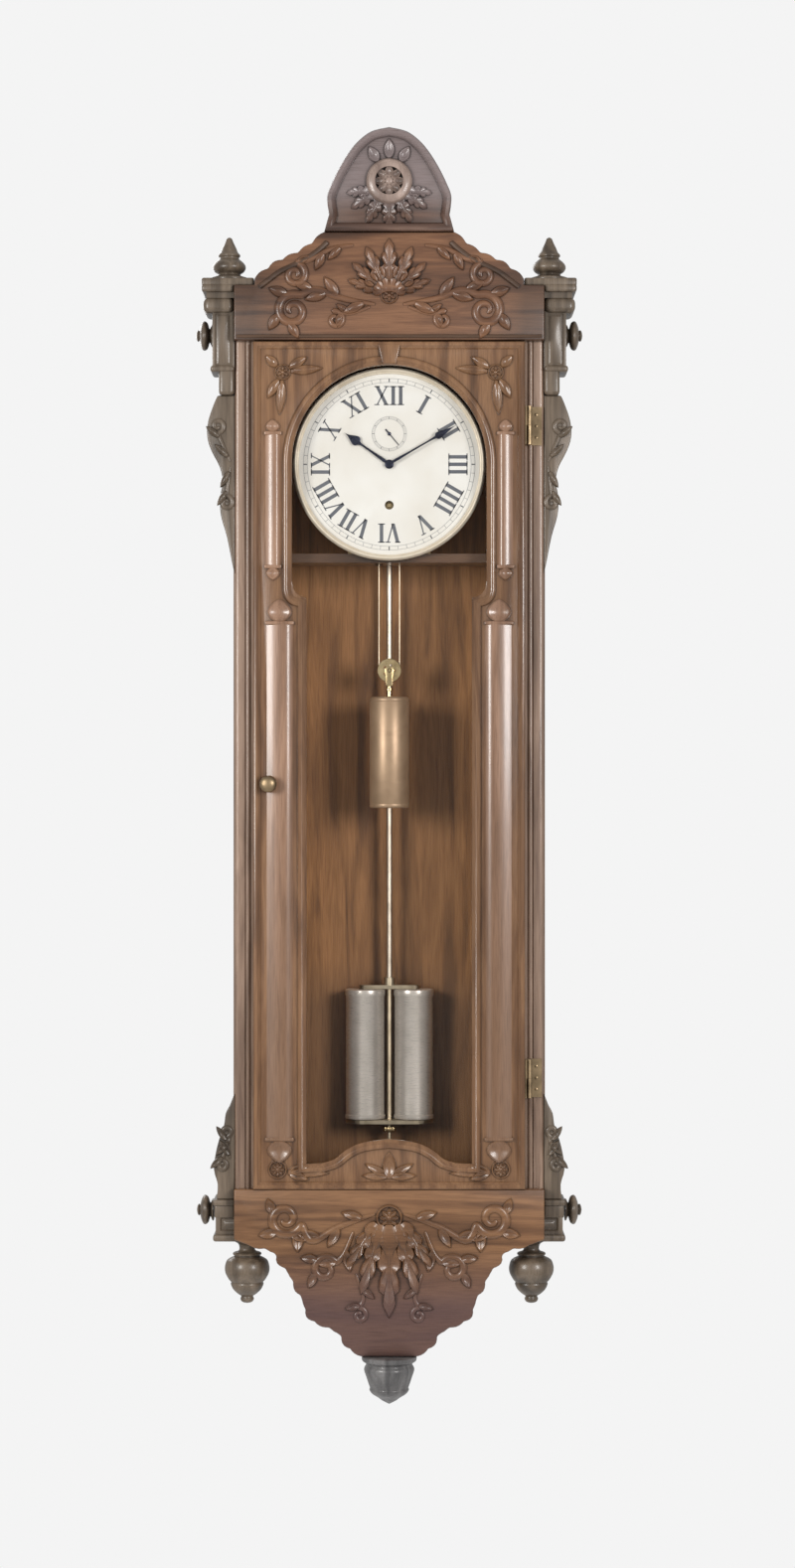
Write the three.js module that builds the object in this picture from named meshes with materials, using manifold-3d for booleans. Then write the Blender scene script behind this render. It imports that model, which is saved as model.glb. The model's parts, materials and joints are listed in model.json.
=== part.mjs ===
// A tall wall regulator clock in a carved walnut case, with a mercury seconds
// pendulum and a weight-driven movement. Millimetres, +Z up. The wall is the
// plane Y = 0, the clock faces -Y, and the origin is on the rear face of the
// hanger plate, on the centre line.

import * as THREE from 'three';
import { mergeVertices } from 'three/addons/utils/BufferGeometryUtils.js';
import Module from 'manifold-3d';

const wasm = await Module();
wasm.setup();

// General clearances
const GAP = 0.3; // between pieces that rest against each other
const RUNNING_GAP = 0.4; // around a pin or a pivot
const OVERRUN = 4; // how far a cutting or joining solid runs past its neighbour
const WELD = 0.001; // points closer than this are one point

// The case and the door, whose arched head fits round the dial
const CASE = { halfWidth: 242, board: 14, back: 18, stile: 44, stileThickness: 18 };
const DOOR = { margin: 30, thickness: 24, gap: 2.4, headRail: 36, headStile: 60, openingSide: 185,
  waistStile: 83, shoulder: 26, footRail: 39, hump: 39, rebate: 6, rebateDepth: 5 };
const DOOR_HALF_WIDTH = CASE.halfWidth - DOOR.margin;
const ARCH_RADIUS = DOOR_HALF_WIDTH - DOOR.headStile;

// Levels above the hanger plate's origin. The case is as long as the pendulum needs, which
// hangs from a pivot 70 above the dial's centre.
const CASE_TOP = 18;
const CREST_FOOT = -68;
const DOOR_TOP = -70;
const DIAL_HEIGHT = DOOR_TOP - DOOR.headRail - ARCH_RADIUS;
const PENDULUM_LENGTH = 1005; // from the pivot to the middle of the jars
const CASE_FOOT = DIAL_HEIGHT - PENDULUM_LENGTH - 169;
const DOOR_FOOT = CASE_FOOT + 40;

// Depths in front of the wall
const CASE_DEPTH = 170; // to the front edges of the side boards
const CABLE_DEPTH = 120; // the plane of the barrel, the pulley and the weight
const PENDULUM_DEPTH = 53; // the plane in which the pendulum swings

const HANGER = { width: 62, height: 84, thickness: 4, above: 24, hole: 8, slot: 4, drop: 34,
  rise: 12, well: 10 };
const CREST = { thickness: 22, clearance: 1, step: 13, height: 169, crownHalfWidth: 101 };
const HEAD = { height: 162, thickness: 30, boss: 34, bossHeight: 78, bossRise: 9 };
// The corner pieces stand out from the case's sides by these amounts, or reach in past them
const POST = { overCase: 31, reach: 51, capHeight: 54, blockReach: 35, neckReach: 25, depth: 96,
  blockDepth: 76, blockHeight: 87, neckHeight: 41, slab: 13 };
const FINIAL = { outside: 10, radius: 31, height: 70 };
const SIDE_KNOB = { radius: 23, length: 27, upperDrop: 72, lowerRise: 46 };
const UPPER_BRACKET = { reach: 43, height: 280, thickness: 36 };
const LOWER_BRACKET = { reach: 33, height: 166, thickness: 36 };
const FOOT_BLOCK = { underCase: 54, reach: 34, above: 21, below: 45, depth: 76 };
const PENDANT = { inside: 18, radius: 36, height: 101 };
const APRON = { thickness: 22, height: 261, footHalfWidth: 40, carving: 7, carvingHalfWidth: 46,
  carvingHeight: 92, carvingDrop: 26 };
const DROP = { radius: 43, height: 75 };

const GLASS = { thickness: 3 };
const HINGE = { axisX: DOOR_HALF_WIDTH + 7, axisDepth: 203, radius: 4, pin: 1.7, height: 60, leaf: 1.6,
  caseLeaf: 23, doorLeaf: 19, web: 3, upper: DOOR_TOP - 160, lower: DOOR_FOOT + 142 };
const LATCH = { x: DOOR_HALF_WIDTH - 24, height: -760, knobRadius: 13, knobLength: 24, shaft: 3,
  tongue: 24, tongueWidth: 9, tongueThickness: 4 };

const DIAL = { radius: ARCH_RADIUS - 2, thickness: 2, depth: 170, foot: 3, footShares: [0.4, -0.5],
  centreHole: 6.5, windingHole: 7, secondsHole: 3.2 };
const BEZEL = { inner: DIAL.radius - 8, outer: DIAL.radius + 1.5, height: 11 };
const SEAT = { thickness: 14, drop: 140, front: 165, back: 80, slotWidth: 12 };
const PLATE = { halfWidth: 65, top: 86, thickness: 4, backDepth: 90, frontDepth: 148, pillar: 4,
  inset: 9 };
const ARBOR = 2.5;
const PIVOT_SIDES = 12;

// Wheel train: modules and tooth counts
const GREAT = { teeth: 120, module: 1, depth: 136, thickness: 3, hub: 8, rim: 7 };
const CENTRE = { teeth: 64, leaves: 8, module: 0.8, depth: 126, thickness: 2, hub: 5, rim: 3.5,
  pinionDepth: 133, pinionLength: 8 };
const THIRD = { teeth: 60, leaves: 8, module: 0.8, depth: 110, thickness: 2, hub: 5, rim: 3.5,
  pinionDepth: 123, pinionLength: 8, lean: Math.PI / 6 };
const ESCAPE = { teeth: 30, leaves: 8, radius: 16.5, depth: 101, thickness: 2, hub: 4, rim: 3,
  pinionDepth: 107, pinionLength: 8, toothDepth: 3.4 };
const ANCHOR = { depth: 98, thickness: 7, arm: 4, hub: 5, clearance: 1.1, pallet: 5 };
const CRUTCH = { depth: 75, thickness: 3, width: 6, length: 112, prong: 3, clearance: 0.8 };
const BARREL = { cord: 15, flange: 20, length: 28, flangeThickness: 2, square: 5, squareLength: 14 };

const HOUR_HAND = { length: DIAL.radius - 64, width: 15, depth: 175.5, thickness: 1.6, pipe: 5.5, bore: 3.4 };
const MINUTE_HAND = { length: DIAL.radius - 26, width: 12, depth: 179.5, thickness: 1.6, boss: 6 };
const SECONDS_HAND = { length: 24, tail: 9, width: 2.4, depth: 173, thickness: 1, boss: 2.6 };
const HOUR_ANGLE = THREE.MathUtils.degToRad(305);
const MINUTE_ANGLE = THREE.MathUtils.degToRad(60);
const SECONDS_ANGLE = THREE.MathUtils.degToRad(140);

const ROD = { radius: 5, block: 14, blockHeight: 18, blockDepth: 12 };
const SPRING = { thickness: 0.8, width: 9, rise: 14, drop: 15 };
const SUSPENSION = { halfWidth: 14, rise: 11, height: 14, front: 66, slot: 2.4, foot: 30,
  footHeight: 50, footThickness: 6 };
const JAR = { radius: 32, height: 208, spacing: 39, cap: 9, neck: 29.5 };
const FRAME = { plate: 6, yokeWidth: 20, rod: 4, boss: 9, bossHeight: 12, screw: 3, screwLength: 26 };
const RATING_NUT = { radius: 10, height: 8, drop: 7 };

const WEIGHT = { radius: 31.5, height: 176, top: -622, cap: 6, capInset: 3, bore: 4.5, boreDepth: 12 };
const PULLEY = { groove: 15, rim: 19, width: 8, bore: 2.5, height: -580, grooveWidth: 3.6 };
const FORK = { cheek: 2, width: 14, clearance: 1, pin: 2.1, yoke: 5, rise: 8, stem: 4 };
const CABLE = { radius: 1, sides: 8 };

// Finishes
const finish = (color, roughness, metalness) =>
  new THREE.MeshStandardMaterial({ color, roughness, metalness });
const FINISH = {
  walnut: finish('#7a4f30', 0.45, 0),
  carvedWalnut: finish('#5d4129', 0.5, 0),
  darkWalnut: finish('#3d2f24', 0.5, 0),
  brass: finish('#b58a4b', 0.3, 1),
  steel: finish('#8c8f94', 0.3, 1),
  blackSteel: finish('#22242a', 0.4, 0.6),
  silvered: finish('#b7b2ab', 0.2, 0.9),
  enamel: finish('#f1ece2', 0.3, 0),
  glass: finish('#dfe8e6', 0.05, 0),
};

// Solids and shapes

function toSolid(geometry) {
  const bare = geometry.clone();
  for (const name of Object.keys(bare.attributes)) {
    if (name !== 'position') bare.deleteAttribute(name);
  }
  const merged = mergeVertices(bare, WELD);
  const corners = merged.index.array;
  const kept = [];
  for (let i = 0; i < corners.length; i += 3) {
    const [a, b, c] = [corners[i], corners[i + 1], corners[i + 2]];
    if (a !== b && b !== c && c !== a) kept.push(a, b, c);
  }
  const points = merged.attributes.position;
  if (signedVolume(points, kept) < 0) kept.reverse();
  return new wasm.Manifold(new wasm.Mesh({
    numProp: 3,
    vertProperties: Float32Array.from(points.array),
    triVerts: Uint32Array.from(kept),
  }));
}

function signedVolume(points, triangles) {
  const [a, b, c] = [new THREE.Vector3(), new THREE.Vector3(), new THREE.Vector3()];
  let total = 0;
  for (let i = 0; i < triangles.length; i += 3) {
    a.fromBufferAttribute(points, triangles[i]);
    b.fromBufferAttribute(points, triangles[i + 1]);
    c.fromBufferAttribute(points, triangles[i + 2]);
    total += a.dot(b.cross(c));
  }
  return total;
}

function toMesh(name, solid, material) {
  const { vertProperties, triVerts } = solid.getMesh();
  const geometry = new THREE.BufferGeometry();
  geometry.setAttribute('position', new THREE.BufferAttribute(vertProperties, 3));
  geometry.setIndex(new THREE.BufferAttribute(triVerts, 1));
  const flat = geometry.toNonIndexed();
  flat.computeVertexNormals();
  const mesh = new THREE.Mesh(flat, material);
  mesh.name = name;
  return mesh;
}

// A box between two opposite corners, in any order
function block(x0, x1, y0, y1, z0, z1) {
  const geometry = new THREE.BoxGeometry(Math.abs(x1 - x0), Math.abs(y1 - y0), Math.abs(z1 - z0));
  geometry.translate((x0 + x1) / 2, (y0 + y1) / 2, (z0 + z1) / 2);
  return toSolid(geometry);
}

// Cylinders along each axis, from one level to another
function cylinderY(radius, y0, y1, x = 0, z = 0, sides = PIVOT_SIDES) {
  const geometry = new THREE.CylinderGeometry(radius, radius, Math.abs(y1 - y0), sides);
  geometry.translate(x, (y0 + y1) / 2, z);
  return toSolid(geometry);
}

function cylinderZ(radius, z0, z1, x = 0, y = 0, sides = PIVOT_SIDES) {
  const geometry = new THREE.CylinderGeometry(radius, radius, Math.abs(z1 - z0), sides);
  geometry.rotateX(Math.PI / 2);
  geometry.translate(x, y, (z0 + z1) / 2);
  return toSolid(geometry);
}

// A flat piece cut to an outline of x and z, between two depths in front of the wall
function board(shape, backDepth, frontDepth, curveSegments = 8) {
  const depth = frontDepth - backDepth;
  const geometry = new THREE.ExtrudeGeometry(shape, { depth, bevelEnabled: false, curveSegments });
  geometry.rotateX(Math.PI / 2);
  geometry.translate(0, -backDepth, 0);
  return toSolid(geometry);
}

// A piece turned about Z; the profile is a list of [radius, height]
function turned(profile, sides = 16) {
  const points = profile.map(([radius, height]) => new THREE.Vector2(radius, height));
  const geometry = new THREE.LatheGeometry(points, sides);
  geometry.rotateX(Math.PI / 2);
  return toSolid(geometry);
}

// A turned profile written in shares of a radius and a height
function sharedProfile(shares, radius, height) {
  return shares.map(([r, h]) => [r * radius, h * height]);
}

function outline(points) {
  return new THREE.Shape(points.map(([x, z]) => new THREE.Vector2(x, z)));
}

function roundHole(radius, x = 0, z = 0, sides = PIVOT_SIDES) {
  const points = [];
  for (let i = 0; i < sides; i += 1) {
    const angle = -2 * Math.PI * (i + 0.5) / sides;
    points.push(new THREE.Vector2(x + radius * Math.cos(angle), z + radius * Math.sin(angle)));
  }
  return new THREE.Path(points);
}

function joined(solids) {
  return solids.reduce((whole, solid) => whole.add(solid));
}

// Both halves of an outline that is written for the right half only, from the top down
function mirroredOutline(rightHalf) {
  const leftHalf = rightHalf.map(([x, z]) => [-x, z]).reverse();
  return outline([...rightHalf, ...leftHalf.filter(([x]) => x !== 0)]);
}

// Case

function makeBackboard() {
  const halfWidth = CASE.halfWidth - CASE.board - GAP;
  const panel = block(-halfWidth, halfWidth, -CASE.back, 0, CASE_FOOT, CASE_TOP);
  const pocket = block(-HANGER.width / 2 - GAP, HANGER.width / 2 + GAP, -HANGER.thickness - GAP, OVERRUN,
    HANGER.above - HANGER.height - GAP, CASE_TOP + OVERRUN);
  const well = block(-HANGER.hole - GAP, HANGER.hole + GAP, -HANGER.thickness - HANGER.well, OVERRUN,
    -HANGER.drop - HANGER.hole, -HANGER.rise + HANGER.slot);
  return toMesh('backboard', panel.subtract(pocket).subtract(well), FINISH.walnut);
}

// The hanger plate has a keyhole: a round hole for the screw's head with a slot above it
function makeHangerPlate() {
  const plate = block(-HANGER.width / 2, HANGER.width / 2, -HANGER.thickness, 0,
    HANGER.above - HANGER.height, Math.min(HANGER.above, CASE_TOP));
  const hole = cylinderY(HANGER.hole, -HANGER.thickness - OVERRUN, OVERRUN, 0, -HANGER.drop);
  const slot = block(-HANGER.slot, HANGER.slot, -HANGER.thickness - OVERRUN, OVERRUN,
    -HANGER.drop, -HANGER.rise);
  return toMesh('hanger_plate', plate.subtract(hole).subtract(slot), FINISH.steel);
}

function makeCaseSide(name, side) {
  const outer = CASE.halfWidth;
  const inner = CASE.halfWidth - CASE.board;
  return toMesh(name, block(side * inner, side * outer, -CASE_DEPTH + GAP, 0, CASE_FOOT, CASE_TOP),
    FINISH.walnut);
}

function makeFaceStile(name, side) {
  const outer = CASE.halfWidth;
  const front = CASE_DEPTH + CASE.stileThickness;
  return toMesh(name, block(side * (outer - CASE.stile), side * outer, -front, -CASE_DEPTH,
    CASE_FOOT, CASE_TOP), FINISH.walnut);
}

// The top and bottom boards also fill the front between the face stiles
function makeCaseEnd(name, foot) {
  const halfWidth = CASE.halfWidth - CASE.board - GAP;
  const betweenStiles = CASE.halfWidth - CASE.stile - GAP;
  const front = CASE_DEPTH + CASE.stileThickness;
  const shelf = block(-halfWidth, halfWidth, -CASE_DEPTH + GAP, -CASE.back - GAP, foot,
    foot + CASE.board);
  const lip = block(-betweenStiles, betweenStiles, -front, -CASE_DEPTH + OVERRUN, foot,
    foot + CASE.board);
  return toMesh(name, shelf.add(lip), FINISH.walnut);
}

// The crest's flat board runs over both face stiles, then steps in between the corner
// posts and falls away in a double curve from the crown
function makeCrestBoard() {
  const back = CASE_DEPTH + CASE.stileThickness + GAP;
  const top = CREST_FOOT + CREST.height;
  const shoulder = CASE_TOP + CREST.step;
  const rise = top - shoulder;
  const betweenPosts = CASE.halfWidth - POST.overCase - CREST.clearance;
  const span = betweenPosts - CREST.crownHalfWidth;
  const curveShares = [[1, 0], [0.84, 0.22], [0.68, 0.42], [0.36, 0.64], [0.14, 0.84], [0, 1]];
  const curve = curveShares.map(([x, z]) => [CREST.crownHalfWidth + x * span, shoulder + z * rise]);
  const rightHalf = [...curve.reverse(), [betweenPosts, CASE_TOP + GAP],
    [CASE.halfWidth, CASE_TOP + GAP], [CASE.halfWidth, CREST_FOOT]];
  return toMesh('crest_board', board(mirroredOutline(rightHalf), back, back + CREST.thickness),
    FINISH.walnut);
}

// The domed head of the crest with its raised boss
function makeCrestHead() {
  const foot = CREST_FOOT + CREST.height + GAP;
  const back = CASE_DEPTH + CASE.stileThickness + GAP;
  const domeShares = [[0, 1], [0.3, 0.96], [0.53, 0.87], [0.68, 0.76], [0.82, 0.62], [0.94, 0.46],
    [1, 0.32], [0.94, 0.16], [1, 0]];
  const half = domeShares.map(([x, z]) => [x * CREST.crownHalfWidth, foot + z * HEAD.height]);
  const dome = board(mirroredOutline(half), back, back + HEAD.thickness);
  const boss = turned([[0, -HEAD.bossRise], [HEAD.boss, -HEAD.bossRise], [HEAD.boss, 0],
    [HEAD.boss * 0.7, HEAD.bossRise * 0.7], [0, HEAD.bossRise]], 16).rotate([90, 0, 0])
    .translate([0, -back - HEAD.thickness, foot + HEAD.bossHeight]);
  return toMesh('crest_head', dome.add(boss), FINISH.carvedWalnut);
}

// A corner post stands against the case side, and its cap reaches in over the case's top
function makeCornerPost(name, side) {
  const beside = CASE.halfWidth + GAP;
  const capTop = CASE_TOP + POST.slab;
  const capFoot = capTop - POST.capHeight;
  const blockFoot = capFoot - POST.blockHeight;
  const neckFoot = blockFoot - POST.neckHeight;
  const middle = CASE_DEPTH - POST.depth / 6;
  const capSide = [-middle - POST.depth / 2, -middle + POST.depth / 2];
  const blockSide = [-middle - POST.blockDepth / 2, -middle + POST.blockDepth / 2];
  const outer = CASE.halfWidth + POST.reach;
  const slab = block(side * (CASE.halfWidth - POST.overCase), side * outer, ...capSide,
    CASE_TOP + GAP, capTop);
  const cap = block(side * beside, side * outer, ...capSide, capFoot, capTop);
  const body = block(side * beside, side * (CASE.halfWidth + POST.blockReach), ...blockSide,
    blockFoot, capTop);
  const neck = block(side * beside, side * (CASE.halfWidth + POST.neckReach), ...blockSide,
    neckFoot, capTop);
  return toMesh(name, joined([slab, cap, body, neck]), FINISH.carvedWalnut);
}

function makeFinial(name, side) {
  const shares = [[0, 0], [0.62, 0], [0.62, 0.06], [0.4, 0.1], [0.78, 0.16], [1, 0.24], [0.98, 0.34],
    [0.84, 0.48], [0.7, 0.64], [0.44, 0.74], [0.48, 0.82], [0.3, 0.94], [0, 1]];
  const mesh = toMesh(name, turned(sharedProfile(shares, FINIAL.radius, FINIAL.height)),
    FINISH.darkWalnut);
  mesh.position.set(side * (CASE.halfWidth + FINIAL.outside), -CASE_DEPTH + POST.depth / 6,
    CASE_TOP + POST.slab + GAP);
  return mesh;
}

// A turned knob that points sideways out of a block
function makeSideKnob(name, side, x, depth, height) {
  const shares = [[0, 0], [0.7, 0], [0.7, 0.12], [0.5, 0.2], [0.9, 0.34], [1, 0.52], [0.82, 0.7],
    [0.4, 0.82], [0.3, 0.94], [0, 1]];
  const solid = turned(sharedProfile(shares, SIDE_KNOB.radius, SIDE_KNOB.length), 16);
  const mesh = toMesh(name, solid, FINISH.darkWalnut);
  mesh.rotation.y = side * Math.PI / 2;
  mesh.position.set(side * (x + GAP), -depth, height);
  return mesh;
}

// A scroll-sawn bracket against the case side; the shares give its reach from top to foot
function makeBracket(name, side, top, sizes, shares) {
  const inner = CASE.halfWidth + GAP;
  const edge = shares.map(([reach, drop]) =>
    [side * (inner + reach * sizes.reach), top - drop * sizes.height]);
  const shape = outline([[side * inner, top], ...edge, [side * inner, top - sizes.height]]);
  return toMesh(name, board(shape, CASE_DEPTH - sizes.thickness / 2, CASE_DEPTH + sizes.thickness / 2),
    FINISH.carvedWalnut);
}

function makeFootBlock(name, side) {
  const beside = CASE.halfWidth + GAP;
  const front = CASE_DEPTH + CASE.stileThickness;
  const outer = CASE.halfWidth + FOOT_BLOCK.reach;
  const foot = CASE_FOOT - FOOT_BLOCK.below;
  const depths = [-front, -front + FOOT_BLOCK.depth];
  const outside = block(side * beside, side * outer, ...depths, foot, CASE_FOOT + FOOT_BLOCK.above);
  const under = block(side * (CASE.halfWidth - FOOT_BLOCK.underCase), side * outer, ...depths, foot,
    CASE_FOOT - GAP);
  return toMesh(name, outside.add(under), FINISH.carvedWalnut);
}

function makePendant(name, side) {
  const shares = [[0, 0], [0.66, 0], [0.66, -0.05], [0.5, -0.09], [0.94, -0.2], [1, -0.32],
    [0.98, -0.46], [0.84, -0.6], [0.78, -0.78], [0.4, -0.84], [0.38, -0.93], [0, -1]];
  const profile = sharedProfile(shares, PENDANT.radius, PENDANT.height);
  const mesh = toMesh(name, turned(profile), FINISH.darkWalnut);
  const front = CASE_DEPTH + CASE.stileThickness;
  mesh.position.set(side * (CASE.halfWidth - PENDANT.inside), -front + FOOT_BLOCK.depth / 2,
    CASE_FOOT - FOOT_BLOCK.below - GAP);
  return mesh;
}

// The apron below the door: wide under the case, then scalloped down to the drop
function makeApronBoard() {
  const back = CASE_DEPTH + CASE.stileThickness + GAP;
  const top = DOOR_FOOT - GAP;
  const shares = [[1, 0], [1, 0.3], [0.9, 0.335], [0.74, 0.37], [0.72, 0.43], [0.64, 0.5],
    [0.6, 0.6], [0.55, 0.66], [0.53, 0.75], [0.46, 0.8], [0.33, 0.85], [0.29, 0.92], [0.24, 0.96]];
  const edge = shares.map(([x, z]) => [x * CASE.halfWidth, top - z * APRON.height]);
  const shape = mirroredOutline([...edge, [APRON.footHalfWidth, top - APRON.height]]);
  const flat = board(shape, back, back + APRON.thickness);
  const middle = top - APRON.carvingDrop - APRON.carvingHeight;
  const leaf = turned([[0, -APRON.carving], [APRON.carvingHalfWidth, -APRON.carving],
    [APRON.carvingHalfWidth * 0.8, APRON.carving * 0.6], [0, APRON.carving]], 16)
    .rotate([90, 0, 0]).scale([1, 1, APRON.carvingHeight / APRON.carvingHalfWidth])
    .translate([0, -back - APRON.thickness, middle]);
  return toMesh('apron_board', flat.add(leaf), FINISH.walnut);
}

function makeDropFinial() {
  const shares = [[0, 0], [1, 0], [1, -0.1], [0.86, -0.2], [0.88, -0.3], [0.8, -0.5], [0.68, -0.72],
    [0.5, -0.84], [0.24, -0.92], [0, -1]];
  const mesh = toMesh('drop_finial', turned(sharedProfile(shares, DROP.radius, DROP.height)),
    FINISH.darkWalnut);
  const middle = CASE_DEPTH + CASE.stileThickness + APRON.thickness / 2;
  mesh.position.set(0, -middle, DOOR_FOOT - APRON.height - 2 * GAP);
  return mesh;
}

// Door

// The glazed opening: an arched head round the dial, a shoulder, and a narrower waist whose
// foot rises to a hump. A positive margin makes it wider all round.
function openingPoints(margin) {
  const head = ARCH_RADIUS + margin;
  const waist = DOOR_HALF_WIDTH - DOOR.waistStile + margin;
  const side = DIAL_HEIGHT - DOOR.openingSide;
  const foot = DOOR_FOOT + DOOR.footRail - margin;
  const arcSteps = 10;
  const arch = [];
  for (let i = 0; i <= arcSteps; i += 1) {
    const angle = Math.PI / 2 * i / arcSteps;
    arch.push([head * Math.sin(angle), DIAL_HEIGHT + head * Math.cos(angle)]);
  }
  const shoulderShares = [[1, 0], [0.92, 0.38], [0.71, 0.71], [0.38, 0.92], [0, 1]];
  const shoulder = shoulderShares.map(([x, z]) =>
    [waist + x * (head - waist), side - margin - z * DOOR.shoulder]);
  const humpShares = [[1, 0], [0.72, 0.04], [0.55, 0.24], [0.42, 0.62], [0.26, 0.88], [0, 1]];
  const hump = humpShares.map(([x, z]) => [x * waist, foot + z * DOOR.hump]);
  return [...arch, ...shoulder, ...hump];
}

function doorSection(margin) {
  const corner = DOOR_HALF_WIDTH;
  const section = outline([[corner, DOOR_TOP], [-corner, DOOR_TOP], [-corner, DOOR_FOOT],
    [corner, DOOR_FOOT]]);
  section.holes.push(new THREE.Path(mirroredOutline(openingPoints(margin)).getPoints()));
  section.holes.push(roundHole(LATCH.shaft + RUNNING_GAP, -LATCH.x, LATCH.height));
  return section;
}

const DOOR_BACK = CASE_DEPTH + CASE.stileThickness + DOOR.gap;
const DOOR_FRONT = DOOR_BACK + DOOR.thickness;

function makeDoorFrame() {
  const rebateFront = DOOR_BACK + DOOR.rebateDepth;
  const front = board(doorSection(0), rebateFront, DOOR_FRONT);
  const back = board(doorSection(DOOR.rebate), DOOR_BACK, rebateFront + OVERRUN);
  return toMesh('door_frame', front.add(back), FINISH.walnut);
}

function makeDoorGlass() {
  const rebateFront = DOOR_BACK + DOOR.rebateDepth;
  const pane = mirroredOutline(openingPoints(DOOR.rebate - GAP));
  const solid = board(pane, rebateFront - GAP - GLASS.thickness, rebateFront - GAP);
  return toMesh('door_glass', solid, FINISH.glass);
}

// The leaf on the case carries the lower knuckle and the pin
function makeCaseLeaf(name, foot) {
  const stileFront = CASE_DEPTH + CASE.stileThickness;
  const middle = foot + HINGE.height / 2;
  const knuckle = cylinderZ(HINGE.radius, foot, middle, HINGE.axisX, -HINGE.axisDepth);
  const pin = cylinderZ(HINGE.pin, foot, foot + HINGE.height - GAP, HINGE.axisX, -HINGE.axisDepth);
  const leaf = block(HINGE.axisX - HINGE.web, HINGE.axisX - HINGE.web + HINGE.caseLeaf,
    -stileFront - GAP, -stileFront - GAP - HINGE.leaf, foot, foot + HINGE.height);
  const web = block(HINGE.axisX - HINGE.web / 2, HINGE.axisX + HINGE.web / 2,
    -stileFront - GAP - HINGE.leaf / 2, -HINGE.axisDepth, foot, middle);
  return toMesh(name, joined([knuckle, pin, leaf, web]), FINISH.brass);
}

// The leaf on the door's edge carries the upper knuckle, which drops over the pin
function makeDoorLeaf(name, foot) {
  const top = foot + HINGE.height;
  const middle = foot + HINGE.height / 2 + GAP;
  const edge = DOOR_HALF_WIDTH + GAP;
  const knuckle = cylinderZ(HINGE.radius, middle, top, HINGE.axisX, -HINGE.axisDepth);
  const bore = cylinderZ(HINGE.pin + RUNNING_GAP, middle - OVERRUN, top + OVERRUN, HINGE.axisX,
    -HINGE.axisDepth);
  const leaf = block(edge, edge + HINGE.leaf, -DOOR_BACK - DOOR.gap,
    -DOOR_BACK - DOOR.gap - HINGE.doorLeaf, foot, top);
  const web = block(edge, HINGE.axisX, -HINGE.axisDepth - HINGE.web / 2,
    -HINGE.axisDepth + HINGE.web / 2, middle, top);
  return toMesh(name, joined([knuckle, leaf, web]).subtract(bore), FINISH.brass);
}

// The knob's shaft runs through the door's stile to a tongue that turns behind the face stile
function makeDoorKnob() {
  const shares = [[0, -0.3], [0.5, -0.3], [0.5, 0], [0.46, 0.3], [0.9, 0.44], [1, 0.66], [0.82, 0.88],
    [0, 1]];
  const profile = sharedProfile(shares, LATCH.knobRadius, LATCH.knobLength)
    .map(([radius, height]) => [radius, Math.max(height, 0)]);
  const knob = turned(profile, 16).rotate([90, 0, 0])
    .translate([-LATCH.x, -DOOR_FRONT - GAP, LATCH.height]);
  const behind = CASE_DEPTH - GAP;
  const shaft = cylinderY(LATCH.shaft, -DOOR_FRONT - LATCH.knobLength / 2,
    -behind + LATCH.tongueThickness, -LATCH.x, LATCH.height);
  const tongue = block(-LATCH.x - LATCH.tongueWidth / 2, -LATCH.x + LATCH.tongueWidth / 2,
    -behind, -behind + LATCH.tongueThickness, LATCH.height - LATCH.tongue,
    LATCH.height + LATCH.tongueWidth / 2);
  return toMesh('door_knob', joined([knob, shaft, tongue]), FINISH.brass);
}

// Movement, measured from the dial's centre

function pitchRadius(teeth, module) {
  return teeth * module / 2;
}

function meshingDistance(wheel, leaves) {
  return pitchRadius(wheel.teeth + leaves, wheel.module);
}

const WINDING_DROP = meshingDistance(GREAT, CENTRE.leaves);
const THIRD_X = meshingDistance(CENTRE, THIRD.leaves) * Math.sin(THIRD.lean);
const THIRD_Z = meshingDistance(CENTRE, THIRD.leaves) * Math.cos(THIRD.lean);
const ESCAPE_RISE = THIRD_Z + Math.sqrt(meshingDistance(THIRD, ESCAPE.leaves) ** 2 - THIRD_X ** 2);
const ANCHOR_SPAN = ESCAPE.radius * 4 / 3;
const ANCHOR_RISE = ESCAPE_RISE + ANCHOR_SPAN;
const TO_THIRD = Math.atan2(THIRD_Z, THIRD_X);
const TO_ESCAPE = Math.atan2(ESCAPE_RISE - THIRD_Z, -THIRD_X);

// Teeth as an outline; one tooth points along the given direction. Widths are shares of the
// angle from tooth to tooth, and heights are shares of the module.
function toothedOutline(teeth, module, direction) {
  const radius = pitchRadius(teeth, module);
  const pitch = 2 * Math.PI / teeth;
  const toothShares = [[-0.24, -1.1], [0, 0.65], [0.24, -1.1]];
  const points = [];
  for (let i = 0; i < teeth; i += 1) {
    for (const [turn, height] of toothShares) {
      const angle = direction + (i + turn) * pitch;
      const reach = radius + height * module;
      points.push(new THREE.Vector2(reach * Math.cos(angle), reach * Math.sin(angle)));
    }
  }
  return new THREE.Shape(points);
}

// The openings between a wheel's spokes
function spokeHoles(inner, outer, spokes, halfSpoke) {
  const steps = 4;
  const holes = [];
  for (let i = 0; i < spokes; i += 1) {
    const start = 2 * Math.PI * i / spokes;
    const end = 2 * Math.PI * (i + 1) / spokes;
    const points = [];
    for (const [radius, forward] of [[inner, true], [outer, false]]) {
      const side = Math.asin(halfSpoke / radius);
      for (let j = 0; j <= steps; j += 1) {
        const share = forward ? j / steps : 1 - j / steps;
        const angle = start + side + share * (end - start - 2 * side);
        points.push(new THREE.Vector2(radius * Math.cos(angle), radius * Math.sin(angle)));
      }
    }
    holes.push(new THREE.Path(points));
  }
  return holes;
}

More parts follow.
